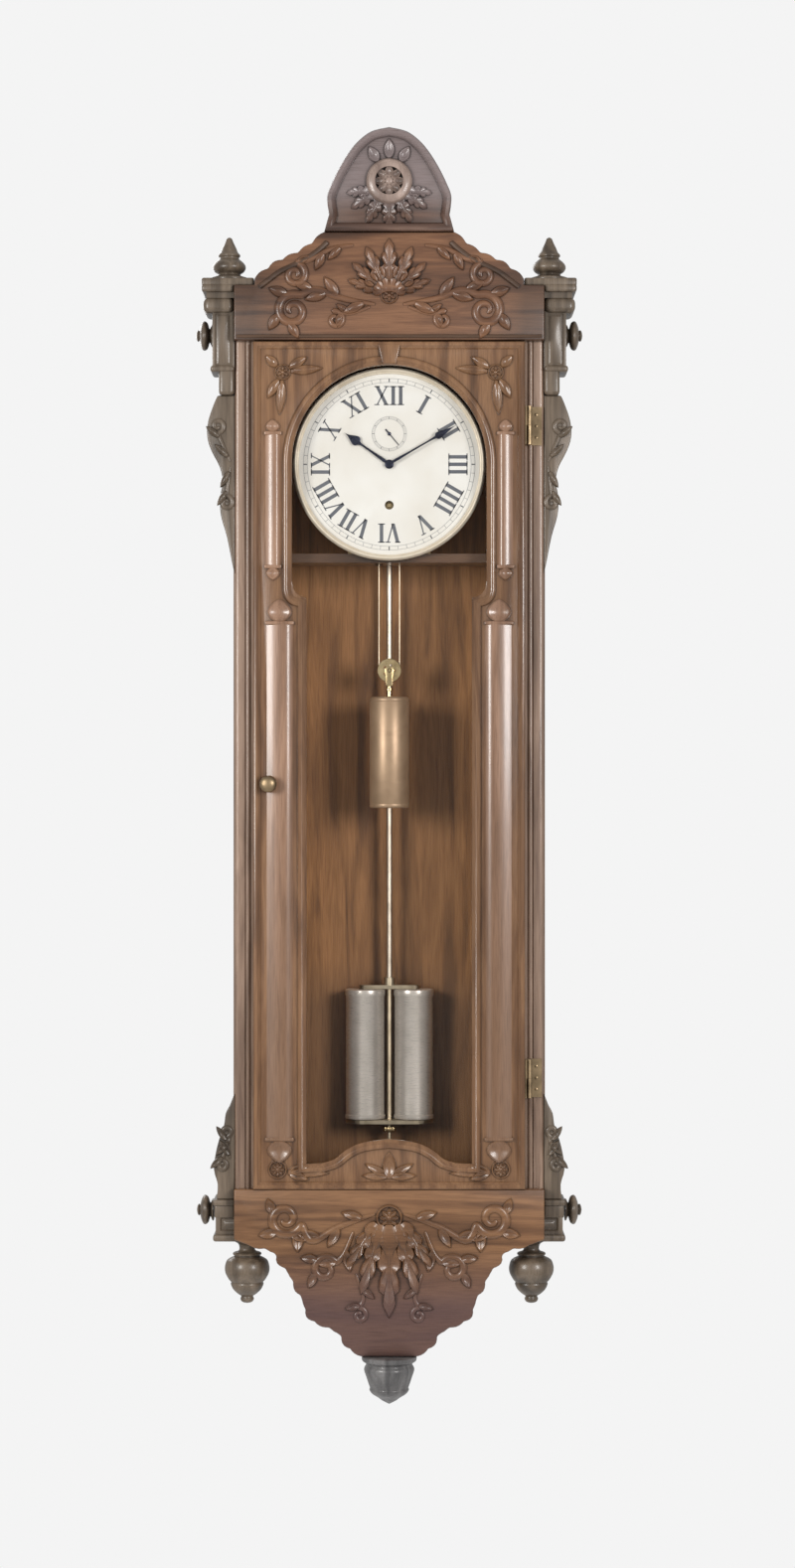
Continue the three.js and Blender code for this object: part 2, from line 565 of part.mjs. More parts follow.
function makeWheel(sizes, direction) {
  const halfPitch = Math.PI / sizes.teeth;
  const shape = toothedOutline(sizes.teeth, sizes.module, direction + halfPitch);
  const rim = pitchRadius(sizes.teeth, sizes.module) - sizes.rim;
  shape.holes.push(...spokeHoles(sizes.hub, rim, 5, ARBOR / 2));
  return board(shape, sizes.depth, sizes.depth + sizes.thickness);
}

function makePinion(leaves, module, direction, depth, length) {
  return board(toothedOutline(leaves, module, direction), depth, depth + length);
}

function makeGreatWheel() {
  const bore = cylinderY(BARREL.square + RUNNING_GAP, -GREAT.depth + OVERRUN,
    -GREAT.depth - GREAT.thickness - OVERRUN);
  const mesh = toMesh('great_wheel', makeWheel(GREAT, Math.PI / 2).subtract(bore), FINISH.brass);
  mesh.position.z = -WINDING_DROP;
  return mesh;
}

function makeBarrel() {
  const half = BARREL.length / 2;
  const inner = half - BARREL.flangeThickness;
  const drum = turned([[0, -half], [BARREL.flange, -half], [BARREL.flange, -inner],
    [BARREL.cord, -inner], [BARREL.cord, inner], [BARREL.flange, inner], [BARREL.flange, half],
    [0, half]]).rotate([90, 0, 0]).translate([0, -CABLE_DEPTH, 0]);
  const plateFront = PLATE.frontDepth + PLATE.thickness;
  const arbor = cylinderY(BARREL.square, -PLATE.backDepth, -plateFront);
  const square = block(-BARREL.square / 2, BARREL.square / 2, -plateFront + OVERRUN,
    -plateFront - BARREL.squareLength, -BARREL.square / 2, BARREL.square / 2);
  const mesh = toMesh('winding_barrel', joined([drum, arbor, square]), FINISH.brass);
  mesh.position.z = -WINDING_DROP;
  return mesh;
}

function makeCentreWheel() {
  const arbor = cylinderY(ARBOR, -PLATE.backDepth, -MINUTE_HAND.depth + GAP);
  const wheel = makeWheel(CENTRE, TO_THIRD);
  const pinion = makePinion(CENTRE.leaves, GREAT.module, -Math.PI / 2, CENTRE.pinionDepth,
    CENTRE.pinionLength);
  return toMesh('centre_wheel', joined([arbor, wheel, pinion]), FINISH.brass);
}

function makeThirdWheel() {
  const arbor = cylinderY(ARBOR, -PLATE.backDepth, -PLATE.frontDepth - PLATE.thickness);
  const wheel = makeWheel(THIRD, TO_ESCAPE);
  const pinion = makePinion(THIRD.leaves, CENTRE.module, TO_THIRD + Math.PI, THIRD.pinionDepth,
    THIRD.pinionLength);
  const mesh = toMesh('third_wheel', joined([arbor, wheel, pinion]), FINISH.brass);
  mesh.position.set(THIRD_X, 0, THIRD_Z);
  return mesh;
}

function makeEscapeWheel() {
  const points = [];
  const pitch = 2 * Math.PI / ESCAPE.teeth;
  const root = ESCAPE.radius - ESCAPE.toothDepth;
  for (let i = 0; i < ESCAPE.teeth; i += 1) {
    for (const [radius, turn] of [[root, -0.45], [ESCAPE.radius, -0.08], [ESCAPE.radius, 0.04],
      [root, 0.2]]) {
      const angle = (i + turn) * pitch;
      points.push(new THREE.Vector2(radius * Math.cos(angle), radius * Math.sin(angle)));
    }
  }
  const shape = new THREE.Shape(points);
  shape.holes.push(...spokeHoles(ESCAPE.hub, root - ESCAPE.rim, 5, ARBOR / 2));
  const wheel = board(shape, ESCAPE.depth, ESCAPE.depth + ESCAPE.thickness);
  const arbor = cylinderY(ARBOR, -PLATE.backDepth, -SECONDS_HAND.depth + GAP);
  const pinion = makePinion(ESCAPE.leaves, THIRD.module, TO_ESCAPE + Math.PI, ESCAPE.pinionDepth,
    ESCAPE.pinionLength);
  const mesh = toMesh('escape_wheel', joined([arbor, wheel, pinion]), FINISH.brass);
  mesh.position.z = ESCAPE_RISE;
  return mesh;
}

// The anchor's two pallets reach round the escape wheel; its crutch hangs behind the back
// plate and straddles the pendulum rod
function makeAnchor() {
  const halfShares = [[0, 0.24], [0.42, 0.06], [0.75, -0.27], [0.7, -0.48], [0.536, -0.41],
    [0.46, -0.16], [0, -0.17]];
  const half = halfShares.map(([x, z]) => [x * ANCHOR_SPAN, z * ANCHOR_SPAN]);
  const pallets = board(mirroredOutline(half), ANCHOR.depth, ANCHOR.depth + ANCHOR.thickness);
  const arbor = cylinderY(ARBOR, -CRUTCH.depth, -PLATE.frontDepth - PLATE.thickness);
  const front = -CRUTCH.depth - CRUTCH.thickness;
  const arm = block(-CRUTCH.width / 2, CRUTCH.width / 2, -CRUTCH.depth, front, CRUTCH.width / 2,
    -CRUTCH.length);
  const inner = ROD.radius + CRUTCH.clearance;
  const outer = inner + CRUTCH.prong;
  const forkTop = -CRUTCH.length + CRUTCH.width;
  const bridge = block(-outer, outer, -CRUTCH.depth, front, forkTop, -CRUTCH.length);
  const prongs = [-1, 1].map((side) => block(side * inner, side * outer,
    -PENDULUM_DEPTH + ROD.radius, front, forkTop, -CRUTCH.length));
  const mesh = toMesh('pallet_anchor', joined([pallets, arbor, arm, bridge, ...prongs]),
    FINISH.steel);
  mesh.position.z = ANCHOR_RISE;
  return mesh;
}

function plateSection() {
  const foot = -SEAT.drop + GAP;
  const section = outline([[PLATE.halfWidth, PLATE.top], [-PLATE.halfWidth, PLATE.top],
    [-PLATE.halfWidth, foot], [PLATE.halfWidth, foot]]);
  const hole = ARBOR + RUNNING_GAP;
  section.holes.push(roundHole(hole), roundHole(hole, THIRD_X, THIRD_Z),
    roundHole(hole, 0, ESCAPE_RISE), roundHole(hole, 0, ANCHOR_RISE),
    roundHole(BARREL.square + RUNNING_GAP, 0, -WINDING_DROP));
  return section;
}

// The four corners of the movement, a margin in from the plates' edges
function plateCorners(margin) {
  const x = PLATE.halfWidth - margin;
  return [[x, PLATE.top - margin], [-x, PLATE.top - margin], [x, -SEAT.drop + margin],
    [-x, -SEAT.drop + margin]];
}

// The back plate has the four pillars riveted to it
function makeBackPlate() {
  const plate = board(plateSection(), PLATE.backDepth, PLATE.backDepth + PLATE.thickness);
  const pillars = plateCorners(PLATE.inset).map(([x, z]) => cylinderY(PLATE.pillar,
    -PLATE.backDepth - PLATE.thickness / 2, -PLATE.frontDepth + GAP, x, z));
  return toMesh('back_plate', joined([plate, ...pillars]), FINISH.brass);
}

function makeFrontPlate() {
  const solid = board(plateSection(), PLATE.frontDepth, PLATE.frontDepth + PLATE.thickness);
  return toMesh('front_plate', solid, FINISH.brass);
}

// A disc with four feet that stand on the front plate
function makeDial() {
  const front = -DIAL.depth - DIAL.thickness;
  const disc = cylinderY(DIAL.radius, -DIAL.depth, front, 0, 0, 64);
  const holes = [[DIAL.centreHole, 0], [DIAL.windingHole, -WINDING_DROP],
    [DIAL.secondsHole, ESCAPE_RISE]].map(([radius, z]) =>
    cylinderY(radius, -DIAL.depth + OVERRUN, front - OVERRUN, 0, z, 16));
  const across = PLATE.halfWidth - 2 * PLATE.inset;
  const feet = [-across, across].flatMap((x) => DIAL.footShares.map((share) => cylinderY(DIAL.foot,
    -PLATE.frontDepth - PLATE.thickness - GAP, -DIAL.depth - DIAL.thickness / 2, x,
    share * DIAL.radius)));
  return toMesh('dial', joined([disc, ...feet]).subtract(joined(holes)), FINISH.enamel);
}

function makeBezel() {
  const width = BEZEL.outer - BEZEL.inner;
  const profileShares = [[0, 0], [1, 0], [1, 0.45], [0.7, 0.95], [0.4, 1], [0.15, 0.6], [0, 0.5],
    [0, 0]];
  const profile = profileShares.map(([x, z]) => [BEZEL.inner + x * width, z * BEZEL.height]);
  const ring = turned(profile, 56).rotate([90, 0, 0])
    .translate([0, -DIAL.depth - DIAL.thickness - GAP, 0]);
  return toMesh('dial_bezel', ring, FINISH.brass);
}

// A hand's blade, pointing up; the shares run from its tip to the centre
function handBlade(sizes, shares) {
  const half = shares.map(([x, z]) => [x * sizes.width / 2, z * sizes.length]);
  return board(mirroredOutline(half), sizes.depth, sizes.depth + sizes.thickness);
}

function makeHourHand() {
  const shares = [[0, 1], [0.3, 0.9], [1, 0.77], [0.86, 0.7], [0.24, 0.65], [0.2, 0.4], [0.34, 0]];
  const front = HOUR_HAND.depth + HOUR_HAND.thickness;
  const pipe = cylinderY(HOUR_HAND.pipe, -PLATE.frontDepth - PLATE.thickness - GAP, -front, 0, 0, 16);
  const bore = cylinderY(HOUR_HAND.bore, -PLATE.frontDepth, -front - OVERRUN);
  const solid = handBlade(HOUR_HAND, shares).add(pipe).subtract(bore);
  const mesh = toMesh('hour_hand', solid, FINISH.blackSteel);
  mesh.rotation.y = HOUR_ANGLE;
  return mesh;
}

function makeMinuteHand() {
  const shares = [[0, 1], [0.2, 0.93], [0.8, 0.8], [0.66, 0.74], [0.24, 0.7], [0.24, 0.4], [0.4, 0]];
  const boss = cylinderY(MINUTE_HAND.boss, -MINUTE_HAND.depth,
    -MINUTE_HAND.depth - MINUTE_HAND.thickness, 0, 0, 16);
  const mesh = toMesh('minute_hand', handBlade(MINUTE_HAND, shares).add(boss), FINISH.blackSteel);
  mesh.rotation.y = MINUTE_ANGLE;
  return mesh;
}

function makeSecondsHand() {
  const tailShare = -SECONDS_HAND.tail / SECONDS_HAND.length;
  const shares = [[0, 1], [0.6, 0.9], [0.6, 0], [1, tailShare], [0, tailShare]];
  const boss = cylinderY(SECONDS_HAND.boss, -SECONDS_HAND.depth,
    -SECONDS_HAND.depth - SECONDS_HAND.thickness);
  const mesh = toMesh('seconds_hand', handBlade(SECONDS_HAND, shares).add(boss), FINISH.blackSteel);
  mesh.rotation.y = SECONDS_ANGLE;
  mesh.position.z = ESCAPE_RISE;
  return mesh;
}

// The shelf under the movement has slots for both falls of the cable
function makeSeatBoard() {
  const halfWidth = CASE.halfWidth - CASE.board - GAP;
  const shelf = block(-halfWidth, halfWidth, -SEAT.front, -SEAT.back, -SEAT.drop,
    -SEAT.drop - SEAT.thickness);
  const fall = CABLE_OFFSET;
  const slot = block(-fall - SEAT.slotWidth / 2, -fall + SEAT.slotWidth / 2,
    -CABLE_DEPTH - BARREL.length / 2, -CABLE_DEPTH + BARREL.length / 2, -SEAT.drop + OVERRUN,
    -SEAT.drop - SEAT.thickness - OVERRUN);
  const eye = cylinderZ(CABLE.radius + RUNNING_GAP, -SEAT.drop + OVERRUN,
    -SEAT.drop - SEAT.thickness - OVERRUN, fall, -CABLE_DEPTH, CABLE.sides);
  return toMesh('seat_board', shelf.subtract(slot).subtract(eye), FINISH.walnut);
}

// Pendulum, measured from its pivot, which is also the anchor's axis

const PIVOT_HEIGHT = DIAL_HEIGHT + ANCHOR_RISE;
const JAR_TOP = -PENDULUM_LENGTH + JAR.height / 2;
const YOKE_TOP = JAR_TOP + GAP + FRAME.plate;
const TRAY_TOP = JAR_TOP - JAR.height - GAP;

function makeSuspensionBracket() {
  const foot = block(-SUSPENSION.foot / 2, SUSPENSION.foot / 2, -CASE.back - GAP,
    -CASE.back - GAP - SUSPENSION.footThickness, SUSPENSION.rise - SUSPENSION.footHeight / 3,
    SUSPENSION.rise + SUSPENSION.footHeight * 2 / 3);
  const arm = block(-SUSPENSION.halfWidth, SUSPENSION.halfWidth, -CASE.back - GAP, -SUSPENSION.front,
    SUSPENSION.rise, SUSPENSION.rise + SUSPENSION.height);
  const halfWidth = SPRING.width / 2 + RUNNING_GAP;
  const slot = block(-SUSPENSION.slot / 2, SUSPENSION.slot / 2, -PENDULUM_DEPTH - halfWidth,
    -PENDULUM_DEPTH + halfWidth, SUSPENSION.rise - OVERRUN, SPRING.rise + RUNNING_GAP);
  return toMesh('suspension_bracket', foot.add(arm).subtract(slot), FINISH.steel);
}

function makeSuspensionSpring() {
  return toMesh('suspension_spring', block(-SPRING.thickness / 2, SPRING.thickness / 2,
    -PENDULUM_DEPTH - SPRING.width / 2, -PENDULUM_DEPTH + SPRING.width / 2, -SPRING.drop,
    SPRING.rise), FINISH.steel);
}

// The rod's top block is slotted for the spring's foot
function makePendulumRod() {
  const blockTop = -SPRING.drop + ROD.blockHeight / 2;
  const blockFoot = blockTop - ROD.blockHeight;
  const top = block(-ROD.block / 2, ROD.block / 2, -PENDULUM_DEPTH - ROD.blockDepth / 2,
    -PENDULUM_DEPTH + ROD.blockDepth / 2, blockTop, blockFoot);
  const slot = block(-SPRING.thickness / 2 - GAP, SPRING.thickness / 2 + GAP,
    -PENDULUM_DEPTH - ROD.blockDepth, -PENDULUM_DEPTH + ROD.blockDepth, blockTop + OVERRUN,
    -SPRING.drop - GAP);
  const rod = cylinderZ(ROD.radius, blockFoot + OVERRUN, YOKE_TOP + FRAME.bossHeight + GAP, 0,
    -PENDULUM_DEPTH, 16);
  return toMesh('pendulum_rod', top.subtract(slot).add(rod), FINISH.brass);
}

// An oval plate under or over both jars
function jarPlate(halfDepth, foot, top) {
  const ends = [-1, 1].map((side) => cylinderZ(halfDepth, foot, top, side * JAR.spacing,
    -PENDULUM_DEPTH, 24));
  const middle = block(-JAR.spacing, JAR.spacing, -PENDULUM_DEPTH - halfDepth,
    -PENDULUM_DEPTH + halfDepth, foot, top);
  return joined([middle, ...ends]);
}

// The frame that carries the jars: a tray, a yoke and a rod between the jars
function makeJarFrame() {
  const tray = jarPlate(JAR.radius, TRAY_TOP - FRAME.plate, TRAY_TOP);
  const yoke = jarPlate(FRAME.yokeWidth / 2, YOKE_TOP - FRAME.plate, YOKE_TOP);
  const rod = cylinderZ(FRAME.rod, TRAY_TOP - FRAME.plate / 2, YOKE_TOP - FRAME.plate / 2, 0,
    -PENDULUM_DEPTH);
  const boss = cylinderZ(FRAME.boss, YOKE_TOP - FRAME.plate / 2, YOKE_TOP + FRAME.bossHeight, 0,
    -PENDULUM_DEPTH, 16);
  const screw = cylinderZ(FRAME.screw, TRAY_TOP - FRAME.plate - FRAME.screwLength,
    TRAY_TOP - FRAME.plate / 2, 0, -PENDULUM_DEPTH);
  return toMesh('jar_frame', joined([tray, yoke, rod, boss, screw]), FINISH.brass);
}

// A jar of mercury with a stepped cap
function makeJar(name, side) {
  const body = JAR.height - JAR.cap;
  const profile = [[0, 0], [JAR.neck, 0], [JAR.radius, JAR.radius - JAR.neck],
    [JAR.radius, body], [JAR.neck, body + (JAR.radius - JAR.neck)], [JAR.neck, JAR.height],
    [0, JAR.height]];
  const mesh = toMesh(name, turned(profile, 28), FINISH.silvered);
  mesh.position.set(side * JAR.spacing, -PENDULUM_DEPTH, JAR_TOP - JAR.height);
  return mesh;
}

function makeRatingNut() {
  const top = TRAY_TOP - FRAME.plate - RATING_NUT.drop;
  const foot = top - RATING_NUT.height;
  const nut = cylinderZ(RATING_NUT.radius, foot, top, 0, -PENDULUM_DEPTH, 16);
  const bore = cylinderZ(FRAME.screw + RUNNING_GAP, foot - OVERRUN, top + OVERRUN, 0,
    -PENDULUM_DEPTH);
  return toMesh('rating_nut', nut.subtract(bore), FINISH.brass);
}

// Driving weight and its pulley, measured from the plane of the cable

const CABLE_OFFSET = BARREL.cord + GAP + CABLE.radius;
const PULLEY_GROOVE = CABLE_OFFSET - CABLE.radius - 2 * GAP;

function makeWeight() {
  const { radius, height, cap, capInset, bore, boreDepth } = WEIGHT;
  const profile = [[0, -height], [radius - capInset, -height], [radius, -height + capInset],
    [radius, -cap], [radius - capInset, -capInset], [radius - capInset, 0], [bore, 0],
    [bore, -boreDepth], [0, -boreDepth]];
  const mesh = toMesh('weight', turned(profile, 32), FINISH.brass);
  mesh.position.z = WEIGHT.top;
  return mesh;
}

function makePulleyWheel() {
  const half = PULLEY.width / 2;
  const groove = PULLEY.grooveWidth / 2;
  const profile = [[PULLEY.bore, -half], [PULLEY.rim, -half], [PULLEY.rim, -half + 1 - GAP],
    [PULLEY_GROOVE, -groove], [PULLEY_GROOVE, groove], [PULLEY.rim, half - 1 + GAP],
    [PULLEY.rim, half], [PULLEY.bore, half], [PULLEY.bore, -half]];
  const mesh = toMesh('pulley_wheel', turned(profile, 24), FINISH.brass);
  mesh.rotation.x = Math.PI / 2;
  mesh.position.z = PULLEY.height;
  return mesh;
}

// The stirrup that joins the pulley to the weight; its stem screws into the weight's top
function makePulleyFork() {
  const inner = PULLEY.width / 2 + FORK.clearance;
  const outer = inner + FORK.cheek;
  const top = PULLEY.height + FORK.rise;
  const foot = PULLEY.height - PULLEY.rim - FORK.clearance - FORK.yoke;
  const cheeks = [-1, 1].map((side) => block(-FORK.width / 2, FORK.width / 2, side * inner,
    side * outer, foot, top));
  const yoke = block(-FORK.width / 2, FORK.width / 2, -outer, outer, foot, foot + FORK.yoke);
  const pin = cylinderY(FORK.pin, -inner - FORK.cheek / 2, inner + FORK.cheek / 2, 0, PULLEY.height);
  const stem = cylinderZ(FORK.stem, WEIGHT.top - WEIGHT.boreDepth + GAP, foot + FORK.yoke / 2);
  return toMesh('pulley_fork', joined([...cheeks, yoke, pin, stem]), FINISH.steel);
}

// One fall comes down from the barrel, passes under the pulley and rises to the seat board
function makeCable() {
  const seatTop = DIAL_HEIGHT - SEAT.drop;
  const down = cylinderZ(CABLE.radius, PULLEY.height - CABLE.radius / 2, DIAL_HEIGHT - WINDING_DROP,
    -CABLE_OFFSET, 0, CABLE.sides);
  const up = cylinderZ(CABLE.radius, PULLEY.height - CABLE.radius / 2, seatTop, CABLE_OFFSET, 0,
    CABLE.sides);
  const section = new THREE.Shape(roundHole(CABLE.radius, 0, 0, CABLE.sides).getPoints());
  const bend = new THREE.EllipseCurve(0, 0, CABLE_OFFSET, CABLE_OFFSET, Math.PI, 2 * Math.PI);
  const path = new THREE.CatmullRomCurve3(bend.getPoints(12)
    .map((point) => new THREE.Vector3(point.x, 0, PULLEY.height + point.y)));
  const geometry = new THREE.ExtrudeGeometry(section, { extrudePath: path, steps: 14,
    bevelEnabled: false });
  return toMesh('cable', joined([down, toSolid(geometry), up]), FINISH.steel);
}

// Assembly

function grouped(...meshes) {
  const group = new THREE.Group();
  group.add(...meshes);
  return group;
}

function makeCase() {
  const postMiddle = CASE_DEPTH - POST.depth / 6;
  const footMiddle = CASE_DEPTH + CASE.stileThickness - FOOT_BLOCK.depth / 2;
  const upperTop = CASE_TOP + POST.slab - POST.capHeight - POST.blockHeight - POST.neckHeight - GAP;
  const lowerTop = CASE_FOOT + FOOT_BLOCK.above + GAP + LOWER_BRACKET.height;
  const upperShares = [[0.62, 0], [0.72, 0.04], [0.98, 0.17], [1, 0.24], [0.84, 0.31], [0.5, 0.42],
    [0.44, 0.5], [0.54, 0.58], [0.5, 0.68], [0.26, 0.8], [0.1, 0.93]];
  const lowerShares = [[0.1, 0.05], [0.3, 0.12], [0.55, 0.19], [0.62, 0.3], [0.84, 0.4],
    [1, 0.55], [1, 0.72], [0.8, 0.86], [0.86, 1]];
  const pieces = [
    makeBackboard(), makeHangerPlate(), makeCaseEnd('case_top_board', CASE_TOP - CASE.board),
    makeCaseEnd('case_floor', CASE_FOOT), makeCrestBoard(), makeCrestHead(), makeApronBoard(),
    makeDropFinial(),
  ];
  for (const [hand, side] of [['left', -1], ['right', 1]]) {
    pieces.push(
      makeCaseSide(`case_side_${hand}`, side),
      makeFaceStile(`face_stile_${hand}`, side),
      makeCornerPost(`corner_post_${hand}`, side),
      makeFinial(`finial_${hand}`, side),
      makeSideKnob(`side_knob_upper_${hand}`, side, CASE.halfWidth + POST.blockReach, postMiddle,
        CASE_TOP - SIDE_KNOB.upperDrop),
      makeBracket(`upper_bracket_${hand}`, side, upperTop, UPPER_BRACKET, upperShares),
      makeBracket(`lower_bracket_${hand}`, side, lowerTop, LOWER_BRACKET, lowerShares),
      makeFootBlock(`foot_block_${hand}`, side),
      makeSideKnob(`side_knob_lower_${hand}`, side, CASE.halfWidth + FOOT_BLOCK.reach, footMiddle,
        CASE_FOOT - FOOT_BLOCK.below + SIDE_KNOB.lowerRise),
      makePendant(`pendant_${hand}`, side),
    );
  }
  return grouped(...pieces);
}

function makeDoor() {
  return grouped(makeDoorFrame(), makeDoorGlass(), makeDoorKnob(),
    makeDoorLeaf('hinge_upper_door_leaf', HINGE.upper),
    makeDoorLeaf('hinge_lower_door_leaf', HINGE.lower),
    makeCaseLeaf('hinge_upper_case_leaf', HINGE.upper),
    makeCaseLeaf('hinge_lower_case_leaf', HINGE.lower));
}

function makeMovement() {
  const movement = grouped(makeSeatBoard(), makeBackPlate(), makeFrontPlate(), makeDial(),
    makeBezel(), makeGreatWheel(), makeBarrel(), makeCentreWheel(), makeThirdWheel(),
    makeEscapeWheel(), makeAnchor(), makeHourHand(), makeMinuteHand(), makeSecondsHand());
  movement.position.z = DIAL_HEIGHT;
  return movement;
}

function makePendulum() {
  const pendulum = grouped(makeSuspensionBracket(), makeSuspensionSpring(), makePendulumRod(),
    makeJarFrame(), makeJar('jar_left', -1), makeJar('jar_right', 1), makeRatingNut());
  pendulum.position.z = PIVOT_HEIGHT;
  return pendulum;
}

function makeDrivingWeight() {
  const drive = grouped(makeWeight(), makePulleyWheel(), makePulleyFork(), makeCable());
  drive.position.y = -CABLE_DEPTH;
  return drive;
}

const regulator = grouped(makeCase(), makeDoor(), makeMovement(), makePendulum(),
  makeDrivingWeight());

export default regulator;
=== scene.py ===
"""The looks of a tall walnut wall regulator with a mercury pendulum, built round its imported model.

Every size is in metres. The clock faces -Y, +Z is up, and the wall is the plane Y = 0. A depth is
how far something is in front of the wall, and left and right are as seen from the front.
"""

import json
import logging
import math
from contextlib import contextmanager
from dataclasses import dataclass, field
from enum import Enum
from typing import Callable, Iterator, Sequence

import bpy
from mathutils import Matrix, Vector

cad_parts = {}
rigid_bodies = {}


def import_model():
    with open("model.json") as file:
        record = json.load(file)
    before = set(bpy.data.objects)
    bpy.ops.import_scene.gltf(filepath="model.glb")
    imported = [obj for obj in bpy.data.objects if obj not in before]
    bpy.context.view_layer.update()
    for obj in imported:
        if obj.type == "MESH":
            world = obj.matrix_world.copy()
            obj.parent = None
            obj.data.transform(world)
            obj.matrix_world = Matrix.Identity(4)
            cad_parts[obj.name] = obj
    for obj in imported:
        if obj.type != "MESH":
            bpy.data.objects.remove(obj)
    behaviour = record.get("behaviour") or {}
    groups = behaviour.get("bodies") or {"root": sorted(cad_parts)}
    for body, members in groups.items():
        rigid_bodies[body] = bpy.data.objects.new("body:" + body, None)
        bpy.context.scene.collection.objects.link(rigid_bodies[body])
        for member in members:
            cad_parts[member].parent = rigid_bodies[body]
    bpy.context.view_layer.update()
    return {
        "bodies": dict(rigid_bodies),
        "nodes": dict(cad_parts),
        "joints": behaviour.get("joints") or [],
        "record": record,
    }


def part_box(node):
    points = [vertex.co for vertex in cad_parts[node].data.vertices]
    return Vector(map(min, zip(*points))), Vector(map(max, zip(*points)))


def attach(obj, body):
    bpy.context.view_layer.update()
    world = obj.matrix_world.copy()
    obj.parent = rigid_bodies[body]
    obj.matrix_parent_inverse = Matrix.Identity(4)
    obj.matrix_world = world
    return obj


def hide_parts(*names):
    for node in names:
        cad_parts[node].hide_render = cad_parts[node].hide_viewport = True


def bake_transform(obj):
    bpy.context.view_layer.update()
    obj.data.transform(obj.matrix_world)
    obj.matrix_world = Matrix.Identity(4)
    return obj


LOG = logging.getLogger("regulator")

Colour = tuple[float, float, float]
Point = tuple[float, float, float]
Flat = tuple[float, float]
Line = Sequence[Flat]
Piece = bpy.types.Object
Socket = bpy.types.NodeSocket
FaceTest = Callable[[bpy.types.MeshPolygon], bool]

FULL_TURN = 2 * math.pi
QUARTER_TURN = math.pi / 2
TO_FRONT = (QUARTER_TURN, 0, 0)
SOFT_ANGLE = 0.6
SHARP_ANGLE = 0.9
WELD = 1e-5
ROUND_STEPS = 48
FINE_STEPS = 96


class Grain(Enum):
    """The way that a board's grain runs."""

    UPRIGHT = "upright"
    ACROSS = "across"


class Hand(Enum):
    """The side of the clock that a piece is on, seen from the front."""

    LEFT = -1
    RIGHT = 1

    @property
    def word(self) -> str:
        """The side as a word, as the nodes' names end."""
        return self.name.lower()


# Modelling by hand


def clear_selection() -> None:
    """Leaves edit mode and deselects every object."""
    if bpy.context.object and bpy.context.object.mode != "OBJECT":
        bpy.ops.object.mode_set(mode="OBJECT")
    bpy.ops.object.select_all(action="DESELECT")


def pick(*pieces: Piece) -> None:
    """Selects these pieces alone and makes the first one active."""
    clear_selection()
    for piece in pieces:
        piece.select_set(True)
    bpy.context.view_layer.objects.active = pieces[0]


@contextmanager
def editing(piece: Piece) -> Iterator[None]:
    """Holds a piece in edit mode, with everything in it selected at the start.

    Args:
        piece: the mesh to edit.
    """
    pick(piece)
    bpy.ops.object.mode_set(mode="EDIT")
    bpy.ops.mesh.select_all(action="SELECT")
    yield
    bpy.ops.object.mode_set(mode="OBJECT")


def select_faces(piece: Piece, wanted: FaceTest) -> None:
    """Selects the faces of a piece that pass a test, and no others.

    Args:
        piece: the mesh, in object mode.
        wanted: the test, by a face's place or normal.
    """
    for vertex in piece.data.vertices:
        vertex.select = False
    for edge in piece.data.edges:
        edge.select = False
    for face in piece.data.polygons:
        face.select = wanted(face)


def settled(piece: Piece) -> Piece:
    """Bakes a piece's place, turn and scale into its mesh.

    Args:
        piece: the piece.

    Returns:
        The same piece.
    """
    pick(piece)
    bpy.ops.object.transform_apply(location=True, rotation=True, scale=True)
    return piece


def named(name: str) -> Piece:
    """Names the piece that was just added and bakes its place into its mesh.

    Args:
        name: the piece's name.

    Returns:
        The piece.
    """
    piece = bpy.context.object
    piece.name = piece.data.name = name
    return settled(piece)


def apply_modifier(piece: Piece, kind: str, **settings: object) -> None:
    """Adds a modifier to a piece and applies it.

    Args:
        piece: the mesh.
        kind: the modifier's type.
        settings: the modifier's own settings.
    """
    pick(piece)
    modifier = piece.modifiers.new(kind.title(), kind)
    for key, value in settings.items():
        setattr(modifier, key, value)
    bpy.ops.object.modifier_apply(modifier=modifier.name)


def bevelled(piece: Piece, width: float, segments: int = 3, angle: float = SOFT_ANGLE) -> Piece:
    """Rounds the edges of a piece that are sharper than an angle."""
    apply_modifier(piece, "BEVEL", width=width, segments=segments, limit_method="ANGLE",
                   angle_limit=angle, harden_normals=False)
    return piece


def joined(name: str, pieces: Sequence[Piece]) -> Piece:
    """Joins meshes into one piece.

    Args:
        name: the piece's name.
        pieces: the meshes, the first of which stays.

    Returns:
        The joined piece.
    """
    pick(*pieces)
    if len(pieces) > 1:
        bpy.ops.object.join()
    pieces[0].name = pieces[0].data.name = name
    return pieces[0]


def moved(piece: Piece, offset: Point = (0, 0, 0), turn: Point = (0, 0, 0)) -> Piece:
    """Turns a piece at the origin by Euler angles, moves it, and bakes both into its mesh."""
    piece.rotation_euler, piece.location = turn, offset
    return settled(piece)


def extrude(step: Point) -> None:
    """Extrudes what is selected in edit mode by a step."""
    bpy.ops.mesh.extrude_region_move(TRANSFORM_OT_translate={"value": step})


def face_outwards() -> None:
    """Turns every face of the piece in edit mode outwards."""
    bpy.ops.mesh.select_all(action="SELECT")
    bpy.ops.mesh.normals_make_consistent(inside=False)


def drawn_chain(name: str, points: Sequence[Point]) -> Piece:
    """Draws a chain of edges by extruding one vertex from point to point.

    Args:
        name: the piece's name.
        points: the chain's points.

    Returns:
        The chain.
    """
    clear_selection()
    bpy.ops.mesh.primitive_plane_add(size=WELD * 100, location=points[0])
    piece = named(name)
    with editing(piece):
        bpy.ops.mesh.merge(type="CENTER")
        for start, end in zip(points, points[1:]):
            extrude(Vector(end) - Vector(start))
    return piece


